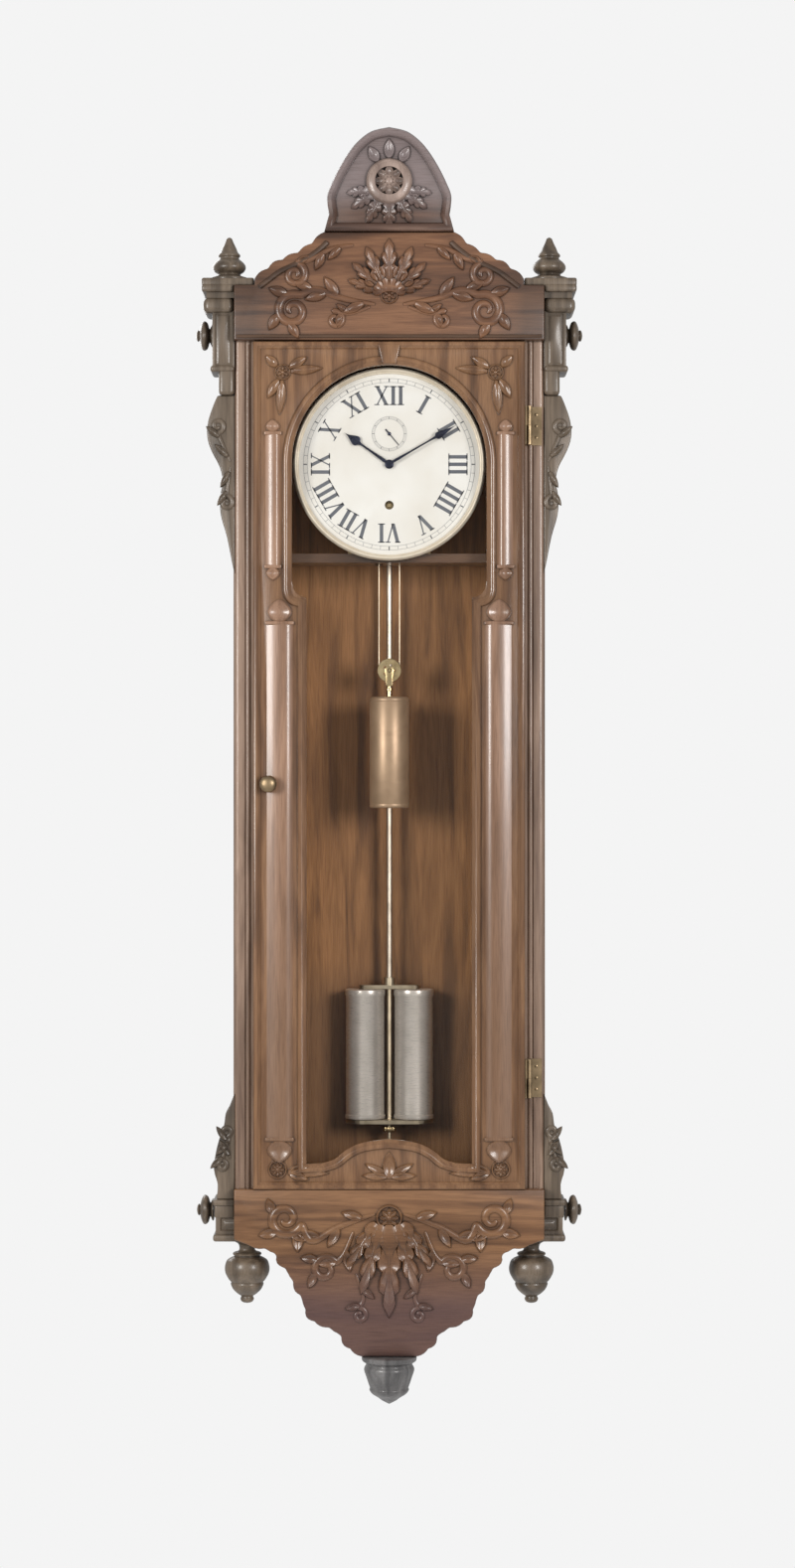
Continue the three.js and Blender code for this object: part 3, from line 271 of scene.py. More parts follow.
def drawn_face(name: str, points: Sequence[Point]) -> Piece:
    """Draws a flat face round an outline of points.

    Args:
        name: the piece's name.
        points: the outline.

    Returns:
        The piece.
    """
    piece = drawn_chain(name, points)
    with editing(piece):
        bpy.ops.mesh.edge_face_add()
    return piece


def front_face(name: str, outline: Line, depth: float) -> Piece:
    """Draws a flat face that looks to the front.

    Args:
        name: the piece's name.
        outline: its points, each an x and a z.
        depth: the depth of the face.

    Returns:
        The face.
    """
    piece = drawn_face(name, [(x, -depth, z) for x, z in outline])
    if piece.data.polygons[0].normal.y > 0:
        with editing(piece):
            bpy.ops.mesh.flip_normals()
    return piece


def extruded(name: str, points: Sequence[Point], step: Point) -> Piece:
    """Draws a flat face and extrudes it into a closed solid.

    Args:
        name: the piece's name.
        points: the face's outline.
        step: how far and which way it is extruded.

    Returns:
        The solid.
    """
    piece = drawn_face(name, points)
    with editing(piece):
        extrude(step)
        face_outwards()
    return piece


def smooth_line(points: Line, steps: int = 4) -> list[Flat]:
    """Runs a smooth line through a few points.

    Args:
        points: the points that the line passes.
        steps: how many pieces each stretch is cut into.

    Returns:
        The points of the line.
    """
    padded = [points[0], *points, points[-1]]
    line = []
    for p0, p1, p2, p3 in zip(padded, padded[1:], padded[2:], padded[3:]):
        for step in range(steps):
            t = step / steps
            line.append(tuple(
                0.5 * (2 * b + (c - a) * t + (2 * a - 5 * b + 4 * c - d) * t * t
                       + (3 * b - a - 3 * c + d) * t ** 3)
                for a, b, c, d in zip(p0, p1, p2, p3)
            ))
    return [*line, points[-1]]


def turned(name: str, profile: Line, steps: int = ROUND_STEPS) -> Piece:
    """Turns a profile round Z, as on a lathe.

    Args:
        name: the piece's name.
        profile: its points, each a radius and a height.
        steps: how many steps make the round.

    Returns:
        The turned piece, round the origin.
    """
    piece = drawn_chain(name, [(radius, 0, height) for radius, height in profile])
    with editing(piece):
        bpy.ops.mesh.spin(steps=steps, angle=FULL_TURN, center=(0, 0, 0), axis=(0, 0, 1))
        bpy.ops.mesh.select_all(action="SELECT")
        bpy.ops.mesh.remove_doubles(threshold=WELD)
        face_outwards()
    return piece


def sawn(name: str, outline: Line, back: float, front: float) -> Piece:
    """Saws a flat piece to an outline of an x and a z, from its back's depth to its front's."""
    return extruded(name, [(x, -back, z) for x, z in outline], (0, back - front, 0))


def round_bar(name: str, radius: float, start: float, end: float, steps: int = ROUND_STEPS) -> Piece:
    """Turns a plain round bar along Z."""
    return turned(name, [(0, start), (radius, start), (radius, end), (0, end)], steps)


def tube(name: str, inner: float, outer: float, start: float, end: float, steps: int) -> Piece:
    """Turns a plain tube along Z."""
    return turned(name, [(inner, start), (outer, start), (outer, end), (inner, end), (inner, start)],
                  steps)


def bar(name: str, low: Point, high: Point) -> Piece:
    """Adds a squared piece between two opposite corners.

    Args:
        name: the piece's name.
        low: its lowest corner.
        high: its highest corner.

    Returns:
        The piece, for shaping.
    """
    clear_selection()
    middle = [(a + b) / 2 for a, b in zip(low, high)]
    bpy.ops.mesh.primitive_cube_add(size=1, location=middle)
    bpy.context.object.scale = [b - a for a, b in zip(low, high)]
    return named(name)


def cut(piece: Piece, cutter: Piece) -> Piece:
    """Cuts one piece out of another and throws the cutter away.

    Args:
        piece: the piece to cut.
        cutter: the piece that takes the room.

    Returns:
        The cut piece.
    """
    apply_modifier(piece, "BOOLEAN", operation="DIFFERENCE", solver="EXACT", object=cutter)
    bpy.data.objects.remove(cutter, do_unlink=True)
    return piece


def stepped_frame(name: str, outline: Line, depth: float, steps: Line) -> Piece:
    """Runs a mitred moulding round the inside of an outline.

    Args:
        name: the piece's name.
        outline: the moulding's outer edge.
        depth: the depth of that edge's foot.
        steps: the moulding's section, each an inset inwards and a rise towards the front.

    Returns:
        The moulding, closed at its back.
    """
    piece = front_face(name, outline, depth)
    with editing(piece):
        for inset, rise in steps:
            if inset:
                bpy.ops.mesh.inset(thickness=inset, depth=rise, use_even_offset=True)
            else:
                extrude((0, -rise, 0))
        bpy.ops.mesh.delete(type="FACE")
    select_faces(piece, lambda face: abs(face.center.y + depth) < WELD)
    bpy.ops.object.mode_set(mode="EDIT")
    bpy.ops.mesh.delete(type="FACE")
    bpy.ops.mesh.select_all(action="SELECT")
    bpy.ops.mesh.region_to_loop()
    bpy.ops.mesh.bridge_edge_loops()
    face_outwards()
    bpy.ops.object.mode_set(mode="OBJECT")
    return piece


def rod(name: str, points: Sequence[Point], radius: float | Sequence[float],
        sides: int = 4) -> Piece:
    """Runs a round rod along points, with one radius or one at each point.

    Args:
        name: the piece's name.
        points: the rod's middle line.
        radius: its radius, or its radii.
        sides: the fineness of its section.

    Returns:
        The rod as a mesh.
    """
    radii = [radius] * len(points) if isinstance(radius, (int, float)) else list(radius)
    clear_selection()
    bpy.ops.curve.primitive_nurbs_path_add()
    curve = bpy.context.object
    curve.data.splines.clear()
    spline = curve.data.splines.new("NURBS")
    spline.points.add(len(points) - 1)
    for control, point, size in zip(spline.points, points, radii):
        control.co = (*point, 1)
        control.radius = size
    spline.use_endpoint_u = True
    spline.order_u = 3
    curve.data.resolution_u = 3
    curve.data.bevel_depth = 1
    curve.data.bevel_resolution = sides
    curve.data.use_fill_caps = True
    pick(curve)
    bpy.ops.object.convert(target="MESH")
    return named(name)


# Finishes


class Paintbox:
    """Builds a material's nodes, one call for each node."""

    def __init__(self, name: str) -> None:
        """Starts a material.

        Args:
            name: the material's name.
        """
        self.material = bpy.data.materials.new(name)
        self.material.use_nodes = True
        self.tree = self.material.node_tree
        self.shader = self.tree.nodes["Principled BSDF"]

    def node(self, kind: str, *first: object, **inputs: object) -> bpy.types.Node:
        """Adds a node; names with a leading underscore set its own properties.

        Args:
            kind: the node's type, without its ShaderNode start.
            first: a value or an output for each of its first inputs.
            inputs: a value or an output for each input, spaces as underscores.

        Returns:
            The node.
        """
        node = self.tree.nodes.new(f"ShaderNode{kind}")
        for socket, value in zip(node.inputs, first):
            self.feed(socket, value)
        for key, value in inputs.items():
            if key.startswith("_"):
                setattr(node, key[1:], value)
            else:
                self.feed(node.inputs[key.replace("_", " ")], value)
        return node

    def feed(self, socket: Socket, value: object) -> None:
        """Links an output to a socket, or sets the socket's value."""
        if isinstance(value, Socket):
            self.tree.links.new(value, socket)
        else:
            socket.default_value = value

    def ramp(self, source: Socket, stops: Sequence[tuple[float, Colour]]) -> Socket:
        """Maps a value to colours.

        Args:
            source: the value.
            stops: places and colours along the ramp.

        Returns:
            The colour.
        """
        node = self.node("ValToRGB", Fac=source)
        elements = node.color_ramp.elements
        while len(elements) < len(stops):
            elements.new(0.5)
        for element, (place, colour) in zip(elements, stops):
            element.position = place
            element.color = (*colour, 1)
        return node.outputs["Color"]

    def place(self) -> Socket:
        """Reads the place on the clock."""
        return self.node("TexCoord").outputs["Object"]

    def axis(self, vector: Socket, name: str) -> Socket:
        """Reads one axis of a vector."""
        return self.node("SeparateXYZ", Vector=vector).outputs[name]

    def range(self, source: Socket, low: float, high: float,
              start: float = 0.3, end: float = 0.7) -> Socket:
        """Maps a value between start and end to one between low and high."""
        node = self.node("MapRange", Value=source, From_Min=start, From_Max=end, To_Min=low,
                         To_Max=high)
        return node.outputs["Result"]

    def blended(self, kind: str, share: object, first: object, second: object
                ) -> Socket:
        """Blends two colours.

        Args:
            kind: the way of blending.
            share: how much of the second shows.
            first: the lower colour.
            second: the upper colour.

        Returns:
            The colour.
        """
        node = self.node("Mix", _data_type="RGBA", _blend_type=kind)
        self.feed(node.inputs[0], share)
        self.feed(node.inputs[6], first)
        self.feed(node.inputs[7], second)
        return node.outputs[2]

    def noise(self, stretch: Point, scale: float, detail: float = 4, distortion: float = 0
              ) -> Socket:
        """Reads a noise in the clock's own place, stretched along its axes."""
        spread = self.node("Mapping", Vector=self.place(), Scale=stretch).outputs["Vector"]
        return self.node("TexNoise", Vector=spread, Scale=scale, Detail=detail,
                         Distortion=distortion).outputs["Fac"]

    def bump(self, source: Socket, depth: float, strength: float = 0.6) -> None:
        """Raises the surface by a value."""
        node = self.node("Bump", Height=source, Distance=depth, Strength=strength)
        self.feed(self.shader.inputs["Normal"], node.outputs["Normal"])

    def toned_outwards(self, colour: Socket, tones: Flat,
                       reach: Flat) -> Socket:
        """Paints light or shade into a colour by the distance from the clock's middle plane.

        Args:
            colour: the colour to shade.
            tones: its factors at the start and at the end of the reach.
            reach: the distances where the change starts and ends.

        Returns:
            The shaded colour.
        """
        out = self.node("Math", self.axis(self.place(), "X"), _operation="ABSOLUTE")
        shade = self.range(out.outputs["Value"], *tones, *reach)
        return self.blended("MULTIPLY", 1.0, colour, shade)

    def surface(self, **inputs: object) -> bpy.types.Material:
        """Sets the shader's inputs.

        Args:
            inputs: a value or an output for each input, spaces as underscores.

        Returns:
            The material.
        """
        for key, value in inputs.items():
            self.feed(self.shader.inputs[key.replace("_", " ")], value)
        return self.material


@dataclass(frozen=True)
class Walnut:
    """Polished walnut with long figure and fine pores, with painted shade in its hollows and painted
    light or shade by height and towards its ends.
    """

    name: str
    light: Colour
    body: Colour
    dark: Colour
    grain: Grain = Grain.UPRIGHT
    roughness: float = 0.34
    coat: float = 0.3
    # Painted shade in hollows and creases: how much ambient occlusion darkens them, and how far it
    # reaches.
    hollow: float = 0.0
    hollow_reach: float = 0.02
    # Painted light by height: a blend towards a tone between two heights, as painted shade low down or
    # a painted sheen up high.
    drift: Flat = (0.0, 1.0)
    drift_tone: Colour = (0, 0, 0)
    drift_share: float = 0.0
    raw_back: float = 0.0
    # Painted shade towards the ends: a factor on the colour between these distances from the middle
    # plane.
    ends: Flat = (0.160, 0.212)
    ends_tone: float = 1.0

    def stretch(self, along: float, across: float) -> Point:
        """The scale of a pattern that runs with the grain."""
        upright = self.grain is Grain.UPRIGHT
        return (across, across, along) if upright else (along, across, across)

    def build(self) -> bpy.types.Material:
        """Builds the material.

        Returns:
            The material.
        """
        box = Paintbox(self.name)
        figure = box.noise(self.stretch(1.3, 16), 2.2, detail=5, distortion=1.4)
        colour = box.ramp(figure, [(0.30, self.dark), (0.47, self.body), (0.60, self.light),
                                   (0.74, self.body)])
        broad = box.noise(self.stretch(1.0, 3.0), 1.1, detail=2)
        tint = box.ramp(broad, [(0.35, (0.74, 0.72, 0.70)), (0.65, (1.12, 1.08, 1.02))])
        colour = box.blended("MULTIPLY", 0.8, colour, tint)
        # Painted light or shade that changes with height.
        if self.drift_share:
            share = box.range(box.axis(box.place(), "Z"), 0, self.drift_share, *self.drift)
            colour = box.blended("MIX", share, colour, (*self.drift_tone, 1))
        # Painted shade towards the ends, by the distance from the middle plane.
        if self.ends_tone < 1:
            colour = box.toned_outwards(colour, (1, self.ends_tone), self.ends)
        if self.raw_back:
            facing = box.axis(box.node("NewGeometry").outputs["Normal"], "Y")
            share = box.range(facing, 0, self.raw_back, 0.2, 0.6)
            raw = box.ramp(figure, [(0.30, self.dark), (0.47, self.body), (0.62, self.light)])
            dull = box.node("HueSaturation", Saturation=0.62, Value=0.72, Color=raw)
            colour = box.blended("MIX", share, colour, dull.outputs["Color"])
        pores = box.noise(self.stretch(9, 420), 3.0, detail=3)
        streaks = box.ramp(pores, [(0.36, (0.52, 0.46, 0.42)), (0.52, (1, 1, 1))])
        colour = box.blended("MULTIPLY", 0.55, colour, streaks)
        # Painted shade: ambient occlusion darkens the hollows and creases.
        if self.hollow:
            shade = box.node("AmbientOcclusion", _samples=6, Distance=self.hollow_reach)
            deep = box.range(shade.outputs["AO"], 1 - self.hollow, 1.0, 0.35, 0.92)
            colour = box.blended("MULTIPLY", 1.0, colour, deep)
        gloss = box.range(broad, self.roughness - 0.06, self.roughness + 0.1)
        box.bump(pores, 0.0003, 0.35)
        return box.surface(Base_Color=colour, Roughness=gloss, Coat_Weight=self.coat,
                           Coat_Roughness=0.14)


@dataclass(frozen=True)
class Metal:
    """Polished or brushed metal with a faint tarnish, and on some parts painted light that grows
    towards their outer flanks.
    """

    name: str
    bright: Colour
    tarnish: Colour
    roughness: float = 0.22
    spread: float = 0.12
    brushed: Point = (1, 1, 1)
    relief: float = 0.00004
    metallic: float = 1.0
    # Painted light across round parts: a factor from the near distance to the far one, painted shade
    # near the middle plane and a painted reflection at the outer flanks.
    flanks: Flat = (0, 0)
    flank_tones: Flat = (1, 1)

    def build(self) -> bpy.types.Material:
        """Builds the material.

        Returns:
            The material.
        """
        box = Paintbox(self.name)
        cloud = box.noise((1, 1, 1), 34, detail=5, distortion=0.4)
        colour = box.ramp(cloud, [(0.34, self.tarnish), (0.6, self.bright)])
        # Painted shade near the middle plane and a painted reflection towards the outer flanks.
        if self.flanks[1]:
            colour = box.toned_outwards(colour, self.flank_tones, self.flanks)
        lines = box.noise(self.brushed, 90, detail=3)
        gloss = box.range(lines, self.roughness, self.roughness + self.spread)
        box.bump(lines, self.relief, 0.4)
        return box.surface(Base_Color=colour, Roughness=gloss, Metallic=self.metallic)


@dataclass(frozen=True)
class Enamel:
    """Fired enamel or paint, glossy, with a slight cloudiness."""

    name: str
    colour: Colour
    aged: Colour
    roughness: float = 0.28

    def build(self) -> bpy.types.Material:
        """Builds the material.

        Returns:
            The material.
        """
        box = Paintbox(self.name)
        cloud = box.noise((1, 1, 1), 11, detail=4, distortion=0.3)
        colour = box.ramp(cloud, [(0.35, self.aged), (0.62, self.colour)])
        gloss = box.range(cloud, self.roughness, self.roughness + 0.12)
        orange = box.noise((1, 1, 1), 260, detail=2)
        box.bump(orange, 0.00003, 0.3)
        return box.surface(Base_Color=colour, Roughness=gloss, Coat_Weight=0.3)


@dataclass(frozen=True)
class WindowGlass:
    """Thin clear glass: it lets the view through and only adds a sheen."""

    name: str
    tint: Colour = (0.985, 0.99, 0.988)
    sheen: float = 0.16

    def build(self) -> bpy.types.Material:
        """Builds the material.

        Returns:
            The material.
        """
        box = Paintbox(self.name)
        wave = box.noise((1, 1, 0.3), 7, detail=2)
        box.bump(wave, 0.0006, 0.2)
        gloss = box.node("BsdfGlossy", Roughness=0.04, Color=(1, 1, 1, 1))
        clear = box.node("BsdfTransparent", Color=(*self.tint, 1))
        edge = box.node("Fresnel", IOR=1.45)
        share = box.node("Math", edge.outputs["Fac"], self.sheen, _operation="MULTIPLY")
        mix = box.node("MixShader", share.outputs["Value"], clear.outputs["BSDF"],
                       gloss.outputs["BSDF"])
        box.feed(box.tree.nodes["Material Output"].inputs["Surface"], mix.outputs["Shader"])
        return box.material


Finish = Walnut | Metal | Enamel | WindowGlass


class Finishes:
    """Every finish on the clock, each built once."""

    # Where a finish darkens its hollows, that darkening is painted shade.
    WALNUT = Walnut("walnut", (0.370, 0.255, 0.190), (0.275, 0.184, 0.133), (0.160, 0.100, 0.070))
    DOOR = Walnut("door_walnut", (0.250, 0.134, 0.066), (0.180, 0.090, 0.042),
                  (0.100, 0.048, 0.022), roughness=0.28, coat=0.35, hollow=0.55, hollow_reach=0.010)
    # A lighter copy of the door's walnut for the stile mouldings: a painted highlight on top of their
    # gloss, fading to painted shade towards the bottom.
    STILE = Walnut("stile_walnut", (0.370, 0.222, 0.146), (0.290, 0.166, 0.104),
                   (0.195, 0.106, 0.062), coat=0.42, drift=(-0.74, -1.15),
                   drift_tone=(0.165, 0.086, 0.043), drift_share=0.75)
    # Darker towards the bottom of the back, beside the jars: painted shade.
    BACK = Walnut("back_walnut", (0.470, 0.222, 0.082), (0.360, 0.163, 0.056),
                  (0.210, 0.092, 0.032), roughness=0.45, coat=0.1, drift=(-1.04, -1.12),
                  drift_tone=(0.165, 0.082, 0.038), drift_share=0.6, raw_back=1.0)
    SIDE = Walnut("side_walnut", (0.275, 0.172, 0.108), (0.205, 0.122, 0.074),
                  (0.115, 0.065, 0.038))
    RAIL = Walnut("rail_walnut", (0.150, 0.078, 0.042), (0.100, 0.050, 0.026),
                  (0.055, 0.027, 0.014), grain=Grain.ACROSS, hollow=0.55)
    # Darker towards the crest's ends: painted shade.
    CARVED = Walnut("carved_walnut", (0.222, 0.108, 0.055), (0.148, 0.068, 0.034),
                    (0.072, 0.032, 0.017), grain=Grain.ACROSS, coat=0.2, hollow=0.85,
                    hollow_reach=0.018, ends_tone=0.44)
    # Darker and purplish towards the apron's lower edge: painted shade.
    APRON = Walnut("apron_walnut", (0.280, 0.143, 0.066), (0.195, 0.094, 0.042),
                   (0.100, 0.046, 0.020), grain=Grain.ACROSS, coat=0.2, hollow=0.75,
                   hollow_reach=0.014, drift=(-1.490, -1.570), drift_tone=(0.092, 0.050, 0.050),
                   drift_share=0.8)
    # The head turns greyer and lighter towards its top: a painted sheen.
    HEAD = Walnut("head_walnut", (0.160, 0.094, 0.068), (0.105, 0.058, 0.042),
                  (0.055, 0.029, 0.021), grain=Grain.ACROSS, hollow=0.8, hollow_reach=0.02,
                  drift=(0.130, 0.165), drift_tone=(0.240, 0.196, 0.196), drift_share=0.8)
    BOSS = Walnut("boss_walnut", (0.400, 0.310, 0.275), (0.310, 0.236, 0.206),
                  (0.180, 0.130, 0.114), hollow=0.7, hollow_reach=0.012)
    DARK = Walnut("dark_walnut", (0.190, 0.148, 0.109), (0.124, 0.095, 0.068),
                  (0.058, 0.043, 0.030), roughness=0.36, coat=0.2, hollow=0.5)
    # Dark beads: painted shade along the crest's edges.
    BEAD = Walnut("bead_walnut", (0.105, 0.060, 0.036), (0.068, 0.037, 0.022),
                  (0.034, 0.018, 0.010), grain=Grain.ACROSS, coat=0.2, hollow=0.5)
    DROP = Walnut("drop_walnut", (0.190, 0.190, 0.196), (0.126, 0.126, 0.131),
                  (0.066, 0.066, 0.070), roughness=0.4, hollow=0.4)
    BRASS = Metal("brass", (0.72, 0.56, 0.32), (0.52, 0.38, 0.20))
    AGED = Metal("aged_brass", (0.34, 0.25, 0.15), (0.19, 0.14, 0.085), 0.36, 0.16)
    FRAME = Metal("frame_brass", (0.52, 0.43, 0.31), (0.36, 0.29, 0.20), 0.34)
    WEIGHT = Metal("weight_brass", (0.435, 0.290, 0.182), (0.355, 0.233, 0.143), 0.36, 0.1,
                   (1, 1, 60), metallic=0.42)
    STEEL = Metal("steel", (0.55, 0.56, 0.58), (0.36, 0.36, 0.37), 0.28, 0.14, (30, 30, 1))
    # Steel tinted warm: a painted reflection of the walnut round it, on top of its real reflections.
    ROD = Metal("rod_steel", (0.70, 0.60, 0.49), (0.54, 0.45, 0.36), 0.34, 0.10, (30, 30, 1))
    LINE = Metal("line_steel", (0.60, 0.49, 0.36), (0.42, 0.34, 0.25), 0.42, 0.10, (1, 1, 400))
    BLUED = Metal("blued_steel", (0.055, 0.060, 0.090), (0.030, 0.030, 0.045), 0.25)
    # The jars: painted shade on their inner sides, facing each other, and a painted reflection on their
    # outer flanks.
    SILVER = Metal("silvered", (0.77, 0.69, 0.62), (0.67, 0.60, 0.53), 0.25, 0.10, (1, 1, 40),
                   metallic=0.45, flanks=(0.030, 0.064), flank_tones=(0.74, 1.50))
    BEZEL = Metal("pale_brass", (0.80, 0.70, 0.56), (0.68, 0.57, 0.43), 0.34, metallic=0.2)
    ENAMEL = Enamel("enamel", (0.78, 0.755, 0.715), (0.72, 0.68, 0.62))
    INK = Enamel("dial_ink", (0.095, 0.100, 0.118), (0.130, 0.134, 0.150), 0.4)
    GLASS = WindowGlass("glass")

    _built: dict[str, bpy.types.Material] = {}

    @classmethod
    def of(cls, finish: Finish) -> bpy.types.Material:
        """Gives a finish's material, building it the first time.

        Args:
            finish: one of the finishes above.

        Returns:
            The material.
        """
        if finish.name not in cls._built:
            cls._built[finish.name] = finish.build()
        return cls._built[finish.name]


def coat(piece: Piece, finish: Finish) -> None:
    """Gives a piece the material of a finish and no other."""
    piece.data.materials.clear()
    piece.data.materials.append(Finishes.of(finish))


def finished(piece: Piece, finish: Finish, slot: str, *nodes: str) -> Piece:
    """Finishes a piece: smooth shading, its material and what it replaces.

    Args:
        piece: the mesh, in place.
        finish: its finish.
        slot: the record's material slot; not used.
        nodes: the nodes that it stands for.

    Returns:
        The piece.
    """
    settled(piece)
    bpy.ops.object.shade_smooth_by_angle(angle=SOFT_ANGLE)
    coat(piece, finish)
    if nodes:
        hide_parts(*nodes)
    LOG.info("%s is finished", piece.name)
    return piece


def dressed(piece: Piece, finish: Finish, slot: str, body: str, *nodes: str) -> None:
    """Finishes a piece and lets it ride on a body."""
    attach(finished(piece, finish, slot, *nodes), body)


def dress_node(frame: dict, node: str, finish: Finish) -> None:
    """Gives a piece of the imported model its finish, with its mesh as it is."""
    coat(frame["nodes"][node], finish)
    LOG.info("%s keeps its packed shape", node)


# The studio


@dataclass
class Studio:
    """The pale floor, the soft lights and the camera at the photograph's angle."""

    camera_side: float = 0.013
    camera_height: float = -0.760
    aim_depth: float = 0.19
    distance: float = 5.2
    view_height: float = 2.454
    sensor: float = 36.0
    floor_height: float = -2.35
    floor_radius: float = 1.3
    floor_solid: float = 0.75
    backdrop: float = 0.905
    ambient: float = 0.45

    def place_camera(self) -> None:
        """Places the camera straight in front, a little right of the clock's middle."""
        clear_selection()
        bpy.ops.object.camera_add(
            location=(self.camera_side, -self.aim_depth - self.distance, self.camera_height),
            rotation=TO_FRONT)
        camera = bpy.context.object
        camera.data.sensor_fit = "VERTICAL"
        camera.data.sensor_height = self.sensor
        camera.data.lens = self.sensor * self.distance / self.view_height
        bpy.context.scene.camera = camera

    def place_lights(self) -> None:
        """Places two tall soft boxes in front, level with the weight, and one at the back."""
        weight, back = (0, -0.1, -0.50), (0, 0, -0.7)
        for name, place, aim, size, power, tone in (
                ("key_light", (-2.4, -3.2, -0.15), weight, (1.0, 1.2), 88, (1, 0.985, 0.96)),
                ("fill_light", (2.2, -3.4, -0.15), weight, (0.9, 1.2), 78, (1, 0.975, 0.965)),
                ("back_light", (-1.6, 2.6, 0.8), back, (2.0, 2.0), 45, (1, 1, 1))):
            clear_selection()
            bpy.ops.object.light_add(type="AREA", location=place)
            light = bpy.context.object
            light.name = name
            light.rotation_euler = (Vector(aim) - Vector(place)).to_track_quat("-Z", "Y").to_euler()
            light.data.shape = "RECTANGLE"
            light.data.size, light.data.size_y = size
            light.data.energy = power
            light.data.color = tone

    def fill_world(self) -> None:
        """Fills the room with even pale light, brighter where it is seen behind the clock."""
        world = bpy.data.worlds.new("studio")
        bpy.context.scene.world = world
        world.use_nodes = True
        tree = world.node_tree
        background = tree.nodes["Background"]
        background.inputs["Color"].default_value = (1, 1, 1, 1)
        rays = tree.nodes.new("ShaderNodeLightPath")
        level = tree.nodes.new("ShaderNodeMapRange")
        level.inputs["To Min"].default_value = self.ambient
        level.inputs["To Max"].default_value = self.backdrop
        tree.links.new(rays.outputs["Is Camera Ray"], level.inputs["Value"])
        tree.links.new(level.outputs["Result"], background.inputs["Strength"])
        bpy.context.scene.view_settings.view_transform = "Standard"

    def lay_floor(self) -> None:
        """Lays a round pale floor below the clock that fades out towards its edge."""
        clear_selection()
        bpy.ops.mesh.primitive_circle_add(vertices=FINE_STEPS, radius=self.floor_radius,
                                          fill_type="NGON",
                                          location=(0, -self.aim_depth, self.floor_height))
        floor = named("studio_floor")
        box = Paintbox("studio_floor")
        middle = box.node("Mapping", Vector=box.place(),
                          Location=(0, self.aim_depth, -self.floor_height)).outputs["Vector"]
        reach = box.node("VectorMath", middle, _operation="LENGTH")
        fade = box.range(reach.outputs["Value"], 1.0, 0.0, self.floor_solid, self.floor_radius)
        below = box.node("NewGeometry").outputs["Backfacing"]
        fade = box.range(below, fade, 0.0, 0.0, 1.0)
        grain = box.noise((1, 1, 1), 60, detail=2)
        tone = box.ramp(grain, [(0.3, (0.86, 0.86, 0.86)), (0.7, (0.90, 0.90, 0.90))])
        floor.data.materials.append(box.surface(Base_Color=tone, Roughness=0.7, Alpha=fade))

    def build(self) -> None:
        """Sets the whole studio."""
        self.place_camera()
        self.place_lights()
        self.fill_world()
        self.lay_floor()


# Shapes that several pieces share

LOBE_STEPS = 5
SUNK = 0.0008
PLAIN_EDGE_SHARES = ((0.28, 0), (0.72, 0.16), (1, 0.40), (0.86, 0.64), (0.46, 0.86), (0, 1))
LOBED_EDGE_SHARES = ((0.26, 0), (0.64, 0.06), (0.86, 0.17), (0.58, 0.24), (0.90, 0.33), (1, 0.46),
                     (0.60, 0.52), (0.82, 0.61), (0.78, 0.72), (0.44, 0.76), (0.50, 0.86),
                     (0.24, 0.94), (0, 1))
# For each tier of a leaf, how much of its width it keeps and its rise as a share of the leaf's.
TIER_SHARES = ((0.95, 0.62), (0.84, 0.38), (0.82, -0.12), (0.62, -0.36), (0.25, -0.12))
# For points up a vein, the share of the leaf's length and the radius as a share of its width.
VEIN_SHARES = ((0.02, 0.055), (0.34, 0.050), (0.66, 0.035), (0.95, 0.008))
RING_SHARES = ((1, 0), (0.99, 0.6), (0.92, 1), (0.84, 0.8), (0.78, 0.1), (0.78, 0), (1, 0))
BUTTON_SHARES = ((0, 1.15), (0.12, 1.05), (0.2, 0.62), (0.21, 0))


def box_of(node: str) -> tuple[Vector, Vector]:
    """Gives a node's lowest and highest corners at rest."""
    low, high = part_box(node)
    return Vector(low), Vector(high)


def dial_height() -> float:
    """Gives the height of the dial's centre."""
    low, high = box_of("dial_bezel")
    return (low.z + high.z) / 2


def reaches(low: Vector, high: Vector) -> Flat:
    """Gives how near to the clock's middle plane a box comes and how far out it goes."""
    near, far = sorted((abs(low.x), abs(high.x)))
    return near, far


def evenly(start: float, end: float, steps: int) -> list[float]:
    """Gives even steps from a start to an end, with both."""
    return [start + (end - start) * step / steps for step in range(steps + 1)]


def both_halves(right: Line) -> list[Flat]:
    """Completes an outline that is given for the right half, from the top down."""
    left = [(-x, z) for x, z in reversed(right) if abs(x) >= WELD]
    return [*right, *left]


def scalloped(line: Line, lobe: float, depth: float) -> list[Flat]:
    """Cuts a line into even lobes that bulge to its left.

    Args:
        line: the line's points.
        lobe: the length of a lobe.
        depth: how far a lobe bulges.

    Returns:
        The points of the lobed line.
    """
    points = [Vector(point) for point in line]
    lengths = [(b - a).length for a, b in zip(points, points[1:])]
    count = max(1, round(sum(lengths) / lobe)) * LOBE_STEPS
    places = []
    for index in range(count + 1):
        rest = sum(lengths) * index / count
        part = 0
        while part < len(lengths) - 1 and rest > lengths[part]:
            rest -= lengths[part]
            part += 1
        way = points[part + 1] - points[part]
        normal = Vector((-way.y, way.x)).normalized()
        bulge = depth * math.sin(math.pi * (index % LOBE_STEPS) / LOBE_STEPS)
        places.append(tuple(points[part] + way * (rest / lengths[part]) + normal * bulge))
    return places


def lathe_line(profile: Line, widest: float = math.inf) -> list[Flat]:
    """Smooths a profile of shares and keeps it between the axis and a widest radius."""
    return [(min(max(radius, 0), widest), height) for radius, height in smooth_line(profile, 3)]


